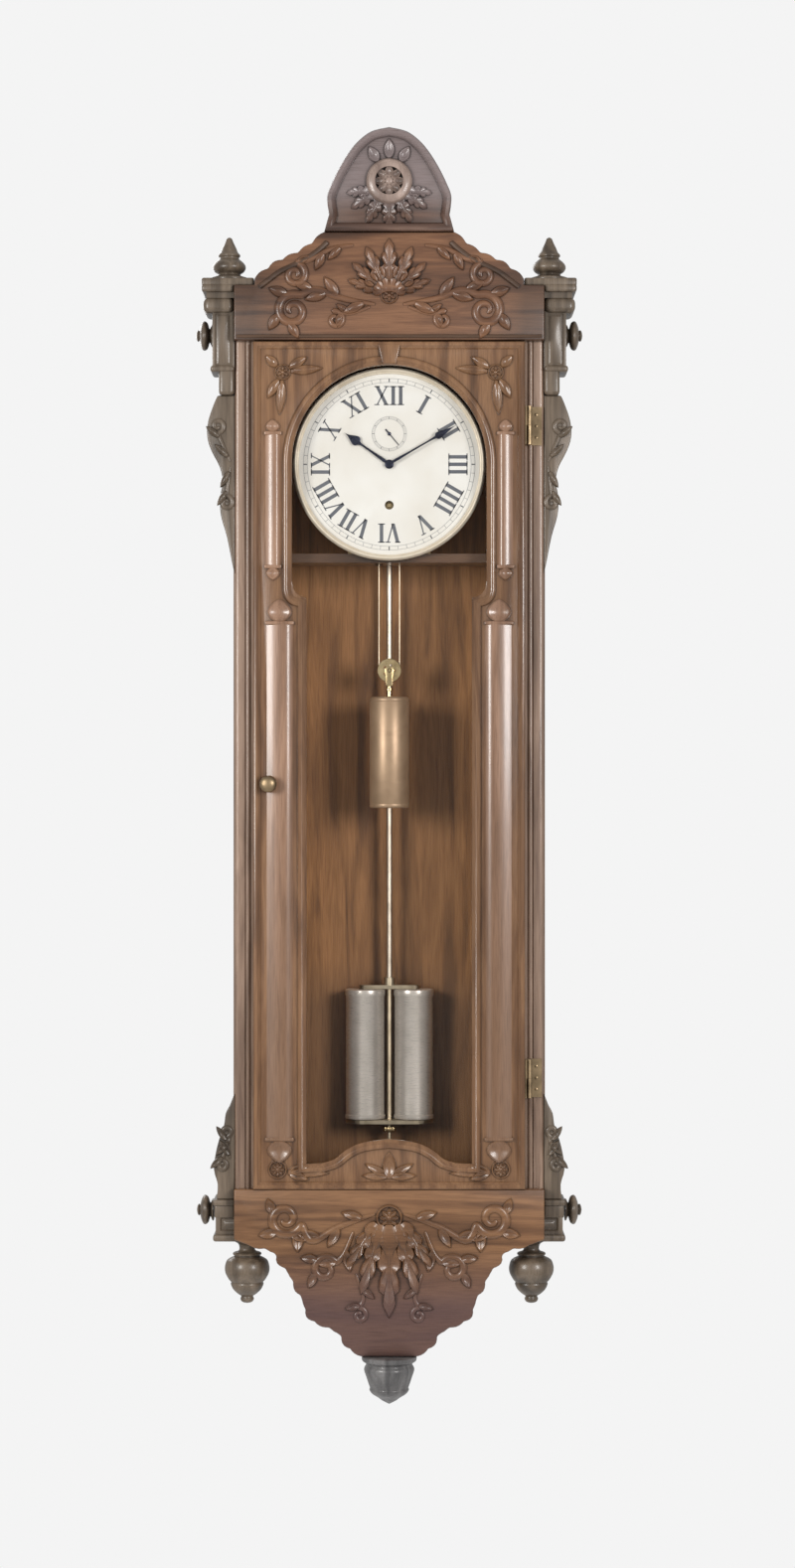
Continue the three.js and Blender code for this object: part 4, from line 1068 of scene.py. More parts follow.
def turned_to_fit(name: str, node: str, profile: Line, steps: int = ROUND_STEPS,
                  turn: Point = (0, 0, 0)) -> Piece:
    """Turns a piece that fills a node's box, upright or lying to one side.

    Args:
        name: the piece's name.
        node: the node.
        profile: its profile, in shares of the box's radius and length.
        steps: how many steps make the round.
        turn: how the upright piece is turned.

    Returns:
        The piece, in place.
    """
    low, high = box_of(node)
    size, middle = high - low, (low + high) / 2
    length, foot = size.z, (middle.x, middle.y, low.z)
    if turn[1]:
        length, foot = size.x, (low.x if turn[1] > 0 else high.x, middle.y, middle.z)
    piece = turned(name, [(r * size.y / 2, h * length) for r, h in profile], steps)
    return moved(piece, foot, turn)


def repeated_round(piece: Piece, count: int) -> Piece:
    """Repeats a mesh evenly round the line through the origin that runs to the front.

    Args:
        piece: the mesh.
        count: how many of it there are in the end.

    Returns:
        The piece.
    """
    with editing(piece):
        bpy.ops.mesh.spin(steps=count, dupli=True, angle=FULL_TURN, center=(0, 0, 0),
                          axis=(0, 1, 0))
    with editing(piece):
        bpy.ops.mesh.remove_doubles(threshold=WELD)
    return piece


@dataclass(frozen=True)
class Leaf:
    """A pointed leaf with a rounded rim and a gouged heart, or a lobed one with a vein too."""

    length: float
    width: float
    rise: float = 0.005
    lobed: bool = False
    heart_share: float = 0.44
    vein_rise_share: float = 0.30

    def carve(self) -> Piece:
        """Carves the leaf upwards from the origin, on the plane Y = 0.

        Returns:
            The leaf.
        """
        edge = smooth_line(LOBED_EDGE_SHARES if self.lobed else PLAIN_EDGE_SHARES, 2)
        outline = [(x * self.width / 2, z * self.length) for x, z in reversed(edge)]
        leaf = front_face("leaf", both_halves(outline), 0)
        with editing(leaf):
            for share, rise in TIER_SHARES:
                extrude((0, -rise * self.rise, 0))
                bpy.ops.transform.resize(value=(share, 1, share),
                                         center_override=(0, 0, self.length * self.heart_share))
        if not self.lobed:
            return leaf
        vein = rod("vein", [(0, -self.rise * self.vein_rise_share, self.length * along)
                            for along, _ in VEIN_SHARES],
                   [self.width * radius for _, radius in VEIN_SHARES], sides=2)
        return joined("leaf", [leaf, vein])

    def place(self, x: float, z: float, depth: float, angle: float) -> Piece:
        """Carves the leaf with its foot at a place, leaning to the right by some degrees."""
        return moved(self.carve(), (x, -depth, z), (0, math.radians(angle), 0))


def fan(middle: Flat, depth: float, leaves: Sequence[tuple[float, Leaf]], apart: float = 0,
        side: int = 1) -> list[Piece]:
    """Carves leaves that point away from a middle.

    Args:
        middle: the point between them.
        depth: the depth of their ground.
        leaves: each leaf with its angle to the right, in degrees.
        apart: how far the leaves' feet are from the middle.
        side: 1 for the fan as given, -1 for its mirror image.

    Returns:
        The leaves.
    """
    return [leaf.place(side * (middle[0] + apart * math.sin(math.radians(angle))),
                       middle[1] + apart * math.cos(math.radians(angle)), depth, side * angle)
            for angle, leaf in leaves]


@dataclass(frozen=True)
class Spray:
    """A carved scroll with a tail and with leaves that grow out of it towards its eye.

    It is given for the right side. The winding is 1 for a scroll that winds inwards anticlockwise
    and -1 for the other way. Each leaf has its share of the way from the eye to the tail's end,
    the angle in degrees at which it leaves the stem, its length and its width.
    """

    eye: Flat
    reach: float
    start: float
    turns: float
    tail: Line
    winding: int
    thick: float
    leaves: tuple[tuple[float, float, float, float], ...]
    thin: float = 0.0026
    steps: int = 25
    eye_share: float = 0.16
    flatness: float = 0.85

    def line(self) -> list[Flat]:
        """Draws the scroll's middle line.

        Returns:
            The points from the eye to the tail's end.
        """
        spiral = []
        for share in evenly(0, 1, self.steps):
            angle = math.radians(self.start) + self.winding * self.turns * FULL_TURN * (1 - share)
            radius = self.reach * (self.eye_share + (1 - self.eye_share) * share ** 0.9)
            spiral.append((self.eye[0] + radius * math.cos(angle),
                           self.eye[1] + radius * math.sin(angle)))
        return [*spiral, *smooth_line([spiral[-1], *self.tail], 5)[1:]]

    def carve(self, hand: Hand, depth: float, level: float = 0) -> list[Piece]:
        """Carves the scroll as a rounded ridge, thickest in its middle, and its leaves.

        Args:
            hand: the side that it is on.
            depth: the depth of its ground.
            level: the height from which its own heights are measured.

        Returns:
            The ridge and the leaves.
        """
        line = [(hand.value * x, level + z) for x, z in self.line()]
        last = len(line) - 1
        radii = [self.thin + (self.thick - self.thin) * math.sin(angle) ** 0.6
                 for angle in evenly(0, math.pi, last)]
        ridge = rod("scroll", [(x, 0, z) for x, z in line], radii, sides=3)
        ridge.scale = (1, self.flatness, 1)
        parts = [moved(ridge, (0, -depth, 0))]
        for share, lean, length, width in self.leaves:
            index = max(1, round(share * last))
            (x, z), (ahead_x, ahead_z) = line[index], line[index - 1]
            heading = math.degrees(math.atan2(ahead_x - x, ahead_z - z))
            parts.append(Leaf(length, width).place(x, z, depth, heading + hand.value * lean))
        return parts


def rosette(x: float, z: float, depth: float, radius: float, petals: int = 8) -> Piece:
    """Carves a rosette: a ring, petals and a button.

    Args:
        x: its middle, across.
        z: its middle, up.
        depth: the depth of its ground.
        radius: its outer radius.
        petals: how many petals it has.

    Returns:
        The rosette.
    """
    rise = radius * 0.26
    ring = turned("ring", [(radius * r, rise * h) for r, h in RING_SHARES])
    button = turned("button", smooth_line([(radius * r, rise * h) for r, h in BUTTON_SHARES], 3))
    parts = [moved(part, (x, -depth, z), TO_FRONT) for part in (ring, button)]
    petal = Leaf(radius * 0.66, radius * 0.42, rise * 0.8).place(0, radius * 0.12, 0, 0)
    return joined("rosette", [*parts, moved(repeated_round(petal, petals), (x, -depth, z))])


def run_moulding(name: str, section: Line, foot: float, top: float) -> Piece:
    """Runs an upright moulding between two heights, its section given by an x and a depth."""
    return extruded(name, [(x, -depth, foot) for x, depth in section], (0, 0, top - foot))


def panelled(piece: Piece, faces: FaceTest, margin: float, depth: float) -> Piece:
    """Sinks a bevelled panel into each face that passes a test.

    Args:
        piece: the mesh.
        faces: the test.
        margin: the width left round the panel.
        depth: how deep it is sunk.

    Returns:
        The piece.
    """
    select_faces(piece, faces)
    pick(piece)
    bpy.ops.object.mode_set(mode="EDIT")
    for inset, rise in ((margin, 0), (depth * 0.8, -depth), (depth * 0.9, 0),
                        (depth * 0.8, depth * 0.7)):
        bpy.ops.mesh.inset(thickness=inset, depth=rise, use_individual=True)
    bpy.ops.object.mode_set(mode="OBJECT")
    return piece


# The case


@dataclass
class CaseWork:
    """The boards of the case, its two moulded face stiles and its side panels."""

    frame: dict
    door_edge: float = 0.212
    bead_gap: float = 0.005
    bead_width: float = 0.008
    bead_rise: float = 0.004
    quirk: float = 0.001
    corner: float = 0.006
    panel_front: float = 0.030
    panel_back: float = 0.022
    panel_foot: float = 0.050
    panel_top: float = 0.205
    panel_section: Line = ((0, 0.0025), (0.0015, 0.0015), (0.0045, 0),
                                       (0.0022, -0.0022), (0.0030, 0), (0.0018, -0.0018))
    boards: dict[str, Finish] = field(default_factory=lambda: {
        "backboard": Finishes.BACK,
        "case_side_left": Finishes.SIDE,
        "case_side_right": Finishes.SIDE,
        "case_top_board": Finishes.RAIL,
        "case_floor": Finishes.RAIL,
        "seat_board": Finishes.RAIL,
        "hanger_plate": Finishes.STEEL,
    })

    def face_stile(self, hand: Hand) -> None:
        """Runs a face stile: a flat, a quirked bead beside the door and a rounded corner.

        Args:
            hand: its side.
        """
        low, high = box_of(f"face_stile_{hand.word}")
        inner, outer = reaches(low, high)
        front = -low.y
        bead, flat = self.door_edge + self.bead_gap, front - self.quirk
        round_bead = [(bead + self.bead_width * (1 - math.cos(angle)) / 2,
                       front - self.bead_rise * (1 - math.sin(angle)))
                      for angle in evenly(0, math.pi, 8)]
        corner = [(outer - self.corner * (1 - math.sin(angle)),
                   flat - self.corner * (1 - math.cos(angle)))
                  for angle in evenly(0, QUARTER_TURN, 5)]
        section = [(inner, -high.y), (inner, flat), (bead - self.quirk, flat), *round_bead,
                   (bead + self.bead_width + self.quirk, flat), *corner, (outer, -high.y)]
        piece = run_moulding(f"stile_moulding_{hand.word}",
                             [(hand.value * x, depth) for x, depth in section], low.z, high.z)
        dressed(piece, Finishes.WALNUT, "door_walnut", "case", f"face_stile_{hand.word}")

    def side_panel(self, hand: Hand) -> None:
        """Plants a moulded frame on a side of the case, between its corner pieces.

        Args:
            hand: the side.
        """
        low, high = box_of(f"case_side_{hand.word}")
        face = reaches(low, high)[1] - WELD
        front, back = low.y + self.panel_front, high.y - self.panel_back
        foot, top = low.z + self.panel_foot, high.z - self.panel_top
        corners = [(front, foot), (back, foot), (back, top), (front, top)]
        piece = stepped_frame(f"side_panel_{hand.word}", [(hand.value * y, z) for y, z in corners],
                              face, self.panel_section)
        moved(piece, turn=(0, 0, hand.value * QUARTER_TURN))
        dressed(piece, Finishes.SIDE, "door_walnut", "case")

    def build(self) -> None:
        """Builds the case."""
        for node, finish in self.boards.items():
            dress_node(self.frame, node, finish)
        for hand in Hand:
            self.face_stile(hand)
            self.side_panel(hand)


@dataclass
class Crest:
    """The carved crest board and its domed head with a rosette."""

    shoulder: float = 0.028
    step_in: float = 0.032
    end_height: float = 0.0183
    curve_shares: Line = ((1, 0), (0.84, 0.18), (0.68, 0.35), (0.36, 0.57),
                                      (0.14, 0.80), (0, 1))
    crown: float = 0.101
    lobe: float = 0.026
    lobe_depth: float = 0.0035
    bead_radius: float = 0.0042
    foot_bead_radius: float = 0.003
    palm: tuple[tuple[float, Leaf], ...] = tuple(
        (angle, Leaf(length, width, 0.0066, lobed=True))
        for angle, length, width in ((0, 0.086, 0.030), (24, 0.080, 0.027), (-24, 0.080, 0.027),
                                     (47, 0.070, 0.024), (-47, 0.070, 0.024), (70, 0.060, 0.021),
                                     (-70, 0.060, 0.021)))
    sprays: tuple[Spray, ...] = (
        Spray((0.150, -0.022), 0.027, 115, 1.45,
              ((0.112, 0.010), (0.070, -0.004), (0.022, -0.012)), -1, 0.0074,
              ((0.94, 34, 0.040, 0.017), (0.86, -34, 0.040, 0.018), (0.80, 36, 0.038, 0.018),
               (0.72, -38, 0.036, 0.017), (0.58, -52, 0.034, 0.018), (0.48, -58, 0.032, 0.018),
               (0.40, -60, 0.030, 0.017))),
        Spray((0.084, -0.036), 0.014, 75, 1.25, ((0.062, -0.026), (0.030, -0.016)), 1, 0.0052,
              ((0.86, -36, 0.026, 0.012), (0.62, -48, 0.024, 0.013))),
        Spray((0.147, 0.034), 0.019, 100, 1.35, ((0.118, 0.060), (0.090, 0.074), (0.056, 0.080)),
              1, 0.0060,
              ((0.92, 34, 0.030, 0.013), (0.82, 34, 0.032, 0.015), (0.62, 50, 0.024, 0.013))),
    )
    dome_shares: Line = ((0, 1), (0.27, 0.96), (0.47, 0.87), (0.62, 0.76),
                                     (0.76, 0.62), (0.88, 0.47), (0.96, 0.33), (0.93, 0.16), (1, 0))
    rim_section: Line = ((0, 0.005), (0.002, 0.003), (0.005, 0.001), (0.004, -0.003),
                                     (0.003, -0.005))
    head_relief: float = 0.009
    field_depth: float = 0.008
    boss_height: float = 0.1793
    boss_radius: float = 0.036
    collar_radius: float = 0.034

    def edge(self) -> list[Flat]:
        """Draws the right half of the crest's curved edge.

        Returns:
            Its points, from the crown down to the shoulder.
        """
        low, high = box_of("crest_board")
        span = high.x - self.step_in - self.crown
        rise = high.z - self.shoulder
        points = [(self.crown + x * span, self.shoulder + z * rise) for x, z in self.curve_shares]
        return smooth_line(list(reversed(points)), 3)

    def board(self) -> None:
        """Saws the crest board with a lobed upper edge."""
        low, high = box_of("crest_board")
        lobed = scalloped(self.edge(), self.lobe, self.lobe_depth)
        right = [*lobed, (high.x - self.step_in, self.end_height), (high.x, self.end_height),
                 (high.x, low.z)]
        piece = sawn("crest_board_carved", both_halves(right), -high.y, -low.y)
        dressed(bevelled(piece, 0.0022), Finishes.CARVED, "carved_walnut", "case", "crest_board")

    def border(self) -> None:
        """Carves a bead along each half of the curved edge and one along the foot."""
        low, high = box_of("crest_board")
        inset = [(x - 0.008, z - 0.013) for x, z in self.edge()][1:]
        beads = [rod(f"edge_bead_{hand.word}", [(hand.value * x, low.y, z) for x, z in inset],
                     self.bead_radius, sides=3) for hand in Hand]
        height = low.z + 2 * self.foot_bead_radius
        foot = [(x, low.y, height) for x in (low.x + 0.004, 0, high.x - 0.004)]
        beads.append(rod("foot_bead", foot, self.foot_bead_radius, sides=3))
        # The beads' dark finish is painted shade along the crest's edges and foot.
        dressed(joined("crest_beads", beads), Finishes.BEAD, "carved_walnut", "case")

    def carving(self) -> None:
        """Carves the palmette under the crown and the scrolls that run out from it."""
        depth = -box_of("crest_board")[0].y - SUNK
        parts = [leaf.place(0.010 * math.sin(math.radians(angle)), 0.006, depth, angle)
                 for angle, leaf in self.palm]
        parts.append(rosette(0, 0.002, depth, 0.014, 6))
        for hand in Hand:
            for spray in self.sprays:
                parts.extend(spray.carve(hand, depth))
        dressed(joined("crest_carving", parts), Finishes.CARVED, "carved_walnut", "case")

    def head_outline(self) -> list[Flat]:
        """Draws the head's outline.

        Returns:
            The points of both halves.
        """
        low, high = box_of("crest_head")
        points = [(x * self.crown, low.z + z * (high.z - low.z)) for x, z in self.dome_shares]
        return both_halves([*smooth_line(points[:-1], 5), points[-1]])

    def head_field(self) -> float:
        """The depth of the head's sunk field."""
        return -box_of("crest_head")[0].y - self.head_relief - self.field_depth

    def head(self) -> None:
        """Builds the head: its ground, a raised rim and the leaves round its boss."""
        floor = self.head_field() - SUNK
        parts = [sawn("crest_head_ground", self.head_outline(), -box_of("crest_head")[1].y,
                      self.head_field()),
                 stepped_frame("crest_head_rim", self.head_outline(), self.head_field() - 0.001,
                               self.rim_section)]
        for angle, length, width, out in ((180, 0.048, 0.026, 0), (152, 0.050, 0.024, 0.012),
                                          (124, 0.046, 0.022, 0.022), (96, 0.040, 0.020, 0.028)):
            leaf = Leaf(length, width, lobed=True)
            for side in ((1, -1) if out else (1,)):
                parts.append(leaf.place(side * out, self.boss_height - 0.028 + out * 0.5, floor,
                                        side * angle))
        tips = [(angle, Leaf(length, 0.018)) for angle, length in ((0, 0.034), (30, 0.030),
                                                                   (-30, 0.030))]
        parts.extend(fan((0, self.boss_height), floor, tips, self.collar_radius))
        piece = bevelled(joined("crest_head_carved", parts), 0.0012, 2, SHARP_ANGLE)
        dressed(piece, Finishes.HEAD, "carved_walnut", "case", "crest_head")

    def boss(self) -> None:
        """Carves the pale round boss on the head, in its turned collar."""
        floor = self.head_field() - SUNK
        inner, height = 0.022, 0.012
        collar = turned("boss_collar", [(self.collar_radius, 0), (self.collar_radius, 0.008),
                                        (0.028, height), (inner, height), (inner, 0),
                                        (self.collar_radius, 0)])
        moved(collar, (0, -floor, self.boss_height), TO_FRONT)
        flower = rosette(0, self.boss_height, floor, self.boss_radius, 8)
        dressed(joined("crest_boss", [collar, flower]), Finishes.BOSS, "carved_walnut", "case")

    def build(self) -> None:
        """Builds the crest."""
        self.board()
        self.border()
        self.carving()
        self.head()
        self.boss()


@dataclass
class Corners:
    """The posts, finials, knobs, brackets, foot blocks and pendants at the case's corners."""

    finial_shares: Line = (
        (0, 0), (0.96, 0), (1, 0.03), (0.98, 0.07), (0.78, 0.10), (0.60, 0.13), (0.58, 0.17),
        (0.74, 0.22), (0.84, 0.30), (0.80, 0.38), (0.66, 0.45), (0.52, 0.50), (0.50, 0.54),
        (0.56, 0.57), (0.54, 0.61), (0.44, 0.66), (0.36, 0.75), (0.26, 0.84), (0.19, 0.91),
        (0.13, 0.97), (0, 1))
    knob_shares: Line = (
        (0, 0), (0.70, 0), (0.72, 0.10), (0.52, 0.17), (0.50, 0.22), (0.86, 0.32), (1, 0.48),
        (0.94, 0.62), (0.62, 0.74), (0.36, 0.80), (0.40, 0.88), (0.26, 0.96), (0, 1))
    pendant_shares: Line = (
        (0, 1), (0.56, 1), (0.58, 0.97), (0.40, 0.93), (0.34, 0.87), (0.38, 0.82), (0.60, 0.79),
        (0.62, 0.76), (0.56, 0.74), (0.86, 0.68), (0.96, 0.60), (0.98, 0.53), (0.94, 0.46),
        (0.80, 0.37), (0.70, 0.33), (0.72, 0.30), (0.62, 0.22), (0.42, 0.15), (0.26, 0.11),
        (0.30, 0.07), (0.22, 0.02), (0, 0))
    upper_bracket_shares: Line = (
        (0.62, 0), (0.74, 0.04), (0.96, 0.14), (1, 0.23), (0.84, 0.31), (0.54, 0.40), (0.44, 0.48),
        (0.53, 0.57), (0.50, 0.67), (0.28, 0.79), (0.10, 0.93))
    upper_eye_shares: Line = ((0.62, 0.17), (0.30, 0.60))
    lower_bracket_shares: Line = (
        (0.1, 0.05), (0.24, 0.12), (0.42, 0.19), (0.50, 0.3), (0.68, 0.4), (0.88, 0.55),
        (0.98, 0.72), (0.8, 0.86), (0.86, 1))
    lower_eye_shares: Line = ((0.40, 0.36), (0.60, 0.68))
    bracket_relief: float = 0.003
    post_beside: float = 0.0313
    slab_foot: float = 0.0184
    foot_beside: float = 0.0543
    foot_ledge: float = 0.0447

    def turnings(self, hand: Hand) -> None:
        """Turns the finial, the two side knobs and the pendant of one side.

        Args:
            hand: the side.
        """
        upright, sideways = (0, 0, 0), (0, hand.value * QUARTER_TURN, 0)
        for name, kind, shares, turn in (
                ("finial_turned", "finial", self.finial_shares, upright),
                ("knob_upper", "side_knob_upper", self.knob_shares, sideways),
                ("knob_lower", "side_knob_lower", self.knob_shares, sideways),
                ("pendant_turned", "pendant", self.pendant_shares, upright)):
            node = f"{kind}_{hand.word}"
            piece = turned_to_fit(f"{name}_{hand.word}", node, lathe_line(shares), turn=turn)
            dressed(piece, Finishes.DARK, "dark_walnut", "case", node)

    @staticmethod
    def part(node: str, hand: Hand, near: float, far: float, foot: float, top: float,
             trim: float = 0) -> Piece:
        """Adds a squared part of a node, as deep as its box but for a trim at front and back."""
        left, right = sorted((hand.value * near, hand.value * far))
        return bar("part", (left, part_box(node)[0][1] + trim, foot),
                   (right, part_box(node)[1][1] - trim, top))

    def post(self, hand: Hand) -> None:
        """Builds a corner post: a moulded cap, a panelled block and a tapered neck.

        Args:
            hand: its side.
        """
        node = f"corner_post_{hand.word}"
        low, high = box_of(node)
        inner, outer = reaches(low, high)
        near, top = inner + self.post_beside, high.z
        block = self.part(node, hand, near, outer - 0.016, top - 0.141, top - 0.050, 0.010)
        panelled(block, lambda face: face.normal.y < -0.9, 0.0045, 0.0018)
        panelled(block, lambda face: face.normal.x * hand.value > 0.99, 0.008, 0.004)
        parts = [bevelled(block, 0.0012, 2, SHARP_ANGLE),
                 bevelled(self.part(node, hand, inner, outer, self.slab_foot, top), 0.003),
                 self.part(node, hand, near, outer - 0.007, top - 0.031, top - 0.018, 0.007)]
        for far, foot, head, trim, round_off, steps in (
                (outer, top - 0.022, top - 0.009, 0, 0.004, 3),
                (outer - 0.002, top - 0.054, top - 0.030, 0.002, 0.009, 5),
                (outer - 0.026, low.z, top - 0.138, 0.010, 0.006, 4),
                (outer - 0.013, top - 0.146, top - 0.136, 0.008, 0.004, 3)):
            parts.append(bevelled(self.part(node, hand, near, far, foot, head, trim), round_off, steps))
        dressed(joined(f"post_{hand.word}", parts), Finishes.DARK, "carved_walnut", "case", node)

    def bracket(self, node: str, hand: Hand, shares: Line, eyes: Line) -> None:
        """Saws a bracket and carves its scrolls on the front.

        Args:
            node: the node that it stands for.
            hand: its side.
            shares: its edge, in shares of its reach and of the way down.
            eyes: where its scrolls' eyes are, in the same shares.
        """
        low, high = box_of(node)
        reach, height = high.x - low.x, high.z - low.z
        near = reaches(low, high)[0]
        edge = smooth_line([(near + r * reach, high.z - d * height) for r, d in shares], 3)
        outline = [(near, high.z), *edge, (near, low.z)]
        body = sawn(f"{node}_carved", [(hand.value * x, z) for x, z in outline],
                    -high.y, -low.y - self.bracket_relief)
        parts = [bevelled(body, 0.003)]
        depth = -low.y - self.bracket_relief - 0.0005
        for number, (r, d) in enumerate(eyes):
            eye = (near + r * reach, high.z - d * height)
            turn = 1 if number % 2 else -1
            spray = Spray(eye, reach * 0.27, 90 * turn, 1.2,
                          ((near + 0.007, eye[1] + turn * reach * 1.3),), turn, 0.0044,
                          ((0.94, -22 * turn, 0.030, 0.011), (0.80, -26 * turn, 0.028, 0.011)),
                          thin=0.0020, steps=17)
            parts.extend(spray.carve(hand, depth))
        dressed(joined(f"{node}_carved", parts), Finishes.DARK, "carved_walnut", "case", node)

    def foot_block(self, hand: Hand) -> None:
        """Builds a foot block with a sunk panel and moulded edges.

        Args:
            hand: its side.
        """
        node = f"foot_block_{hand.word}"
        low, high = box_of(node)
        inner, outer = reaches(low, high)
        near, ledge = inner + self.foot_beside, low.z + self.foot_ledge
        under = self.part(node, hand, inner + 0.004, outer - 0.004, low.z + 0.009, ledge, 0.004)
        panelled(under, lambda face: face.normal.y < -0.9 or face.normal.x * hand.value > 0.9, 0.007,
                 0.003)
        base = self.part(node, hand, inner, outer, low.z, low.z + 0.011)
        outside = self.part(node, hand, near, outer - 0.002, ledge - 0.008, high.z - 0.008, 0.003)
        cap = self.part(node, hand, near, outer, high.z - 0.010, high.z)
        parts = [bevelled(under, 0.0015, 2, SHARP_ANGLE), bevelled(base, 0.004, 4),
                 bevelled(outside, 0.003), bevelled(cap, 0.003)]
        dressed(joined(f"foot_{hand.word}", parts), Finishes.DARK, "carved_walnut", "case", node)

    def build(self) -> None:
        """Builds all the corner pieces."""
        for hand in Hand:
            self.post(hand)
            self.turnings(hand)
            self.bracket(f"upper_bracket_{hand.word}", hand, self.upper_bracket_shares,
                         self.upper_eye_shares)
            self.bracket(f"lower_bracket_{hand.word}", hand, self.lower_bracket_shares,
                         self.lower_eye_shares)
            self.foot_block(hand)


@dataclass
class Apron:
    """The carved apron below the door and its drop finial."""

    edge_shares: Line = (
        (1, 0), (1, 0.3), (0.9, 0.335), (0.74, 0.37), (0.72, 0.43), (0.64, 0.5), (0.6, 0.6),
        (0.55, 0.66), (0.53, 0.75), (0.46, 0.8), (0.33, 0.85), (0.29, 0.92), (0.24, 0.96))
    foot: float = 0.040
    thickness: float = 0.022
    lobe: float = 0.024
    lobe_depth: float = 0.0028
    sprays: tuple[Spray, ...] = (
        Spray((0.162, -0.046), 0.027, 200, 1.4,
              ((0.120, -0.080), (0.078, -0.058), (0.022, -0.038)), 1, 0.0076,
              ((0.94, -34, 0.036, 0.016), (0.88, 34, 0.038, 0.017), (0.80, -36, 0.042, 0.019),
               (0.73, 36, 0.036, 0.017), (0.60, 54, 0.036, 0.019), (0.50, 58, 0.032, 0.018),
               (0.41, 60, 0.028, 0.016))),
        Spray((0.100, -0.124), 0.021, 150, 1.3, ((0.070, -0.100), (0.056, -0.066)), -1, 0.0064,
              ((0.88, 36, 0.036, 0.017), (0.74, -36, 0.034, 0.017), (0.58, -56, 0.030, 0.016),
               (0.46, -60, 0.028, 0.015))),
        Spray((0.046, -0.196), 0.012, 80, 1.2, ((0.040, -0.168), (0.052, -0.132)), 1, 0.0046,
              ((0.90, 34, 0.028, 0.012), (0.76, -34, 0.026, 0.012))),
    )
    drop_shares: Line = (
        (0, 1), (0.98, 1), (1, 0.97), (0.98, 0.91), (0.88, 0.87), (0.84, 0.83), (0.90, 0.77),
        (0.91, 0.70), (0.84, 0.58), (0.76, 0.44), (0.70, 0.34), (0.72, 0.30), (0.62, 0.22),
        (0.40, 0.14), (0.26, 0.08), (0, 0))

    def board(self) -> None:
        """Saws the apron board, its lower edge lobed and its sides straight."""
        low, high = box_of("apron_board")
        height = high.z - low.z
        right = [(x * high.x, high.z - z * height) for x, z in self.edge_shares]
        curve = scalloped(smooth_line([*right[2:], (self.foot, low.z)], 3), self.lobe,
                          self.lobe_depth)
        piece = sawn("apron_carved", both_halves([*right[:2], *curve]), -high.y,
                     self.thickness - high.y)
        dressed(bevelled(piece, 0.0022), Finishes.APRON, "carved_walnut", "case", "apron_board")

    def carving(self) -> None:
        """Carves the hanging leaf in the middle and the scrolls beside it."""
        high = box_of("apron_board")[1]
        depth, top = self.thickness - SUNK - high.y, high.z
        parts = []
        for angle, length, width, x, drop in ((180, 0.150, 0.040, 0, 0.052),
                                              (164, 0.118, 0.030, 0.012, 0.052),
                                              (147, 0.088, 0.026, 0.020, 0.050)):
            leaf = Leaf(length, width, 0.0075, lobed=True)
            for side in ((1, -1) if x else (1,)):
                parts.append(leaf.place(side * x, top - drop, depth, side * angle))
        parts.append(rosette(0, top - 0.044, depth, 0.021, 8))
        for hand in Hand:
            for spray in self.sprays:
                parts.extend(spray.carve(hand, depth, top))
        dressed(joined("apron_carving", parts), Finishes.APRON, "carved_walnut", "case")

    def build(self) -> None:
        """Builds the apron and turns the drop under it."""
        self.board()
        self.carving()
        drop = turned_to_fit("drop_turned", "drop_finial", lathe_line(self.drop_shares, 1))
        dressed(drop, Finishes.DROP, "dark_walnut", "case", "drop_finial")


# The door


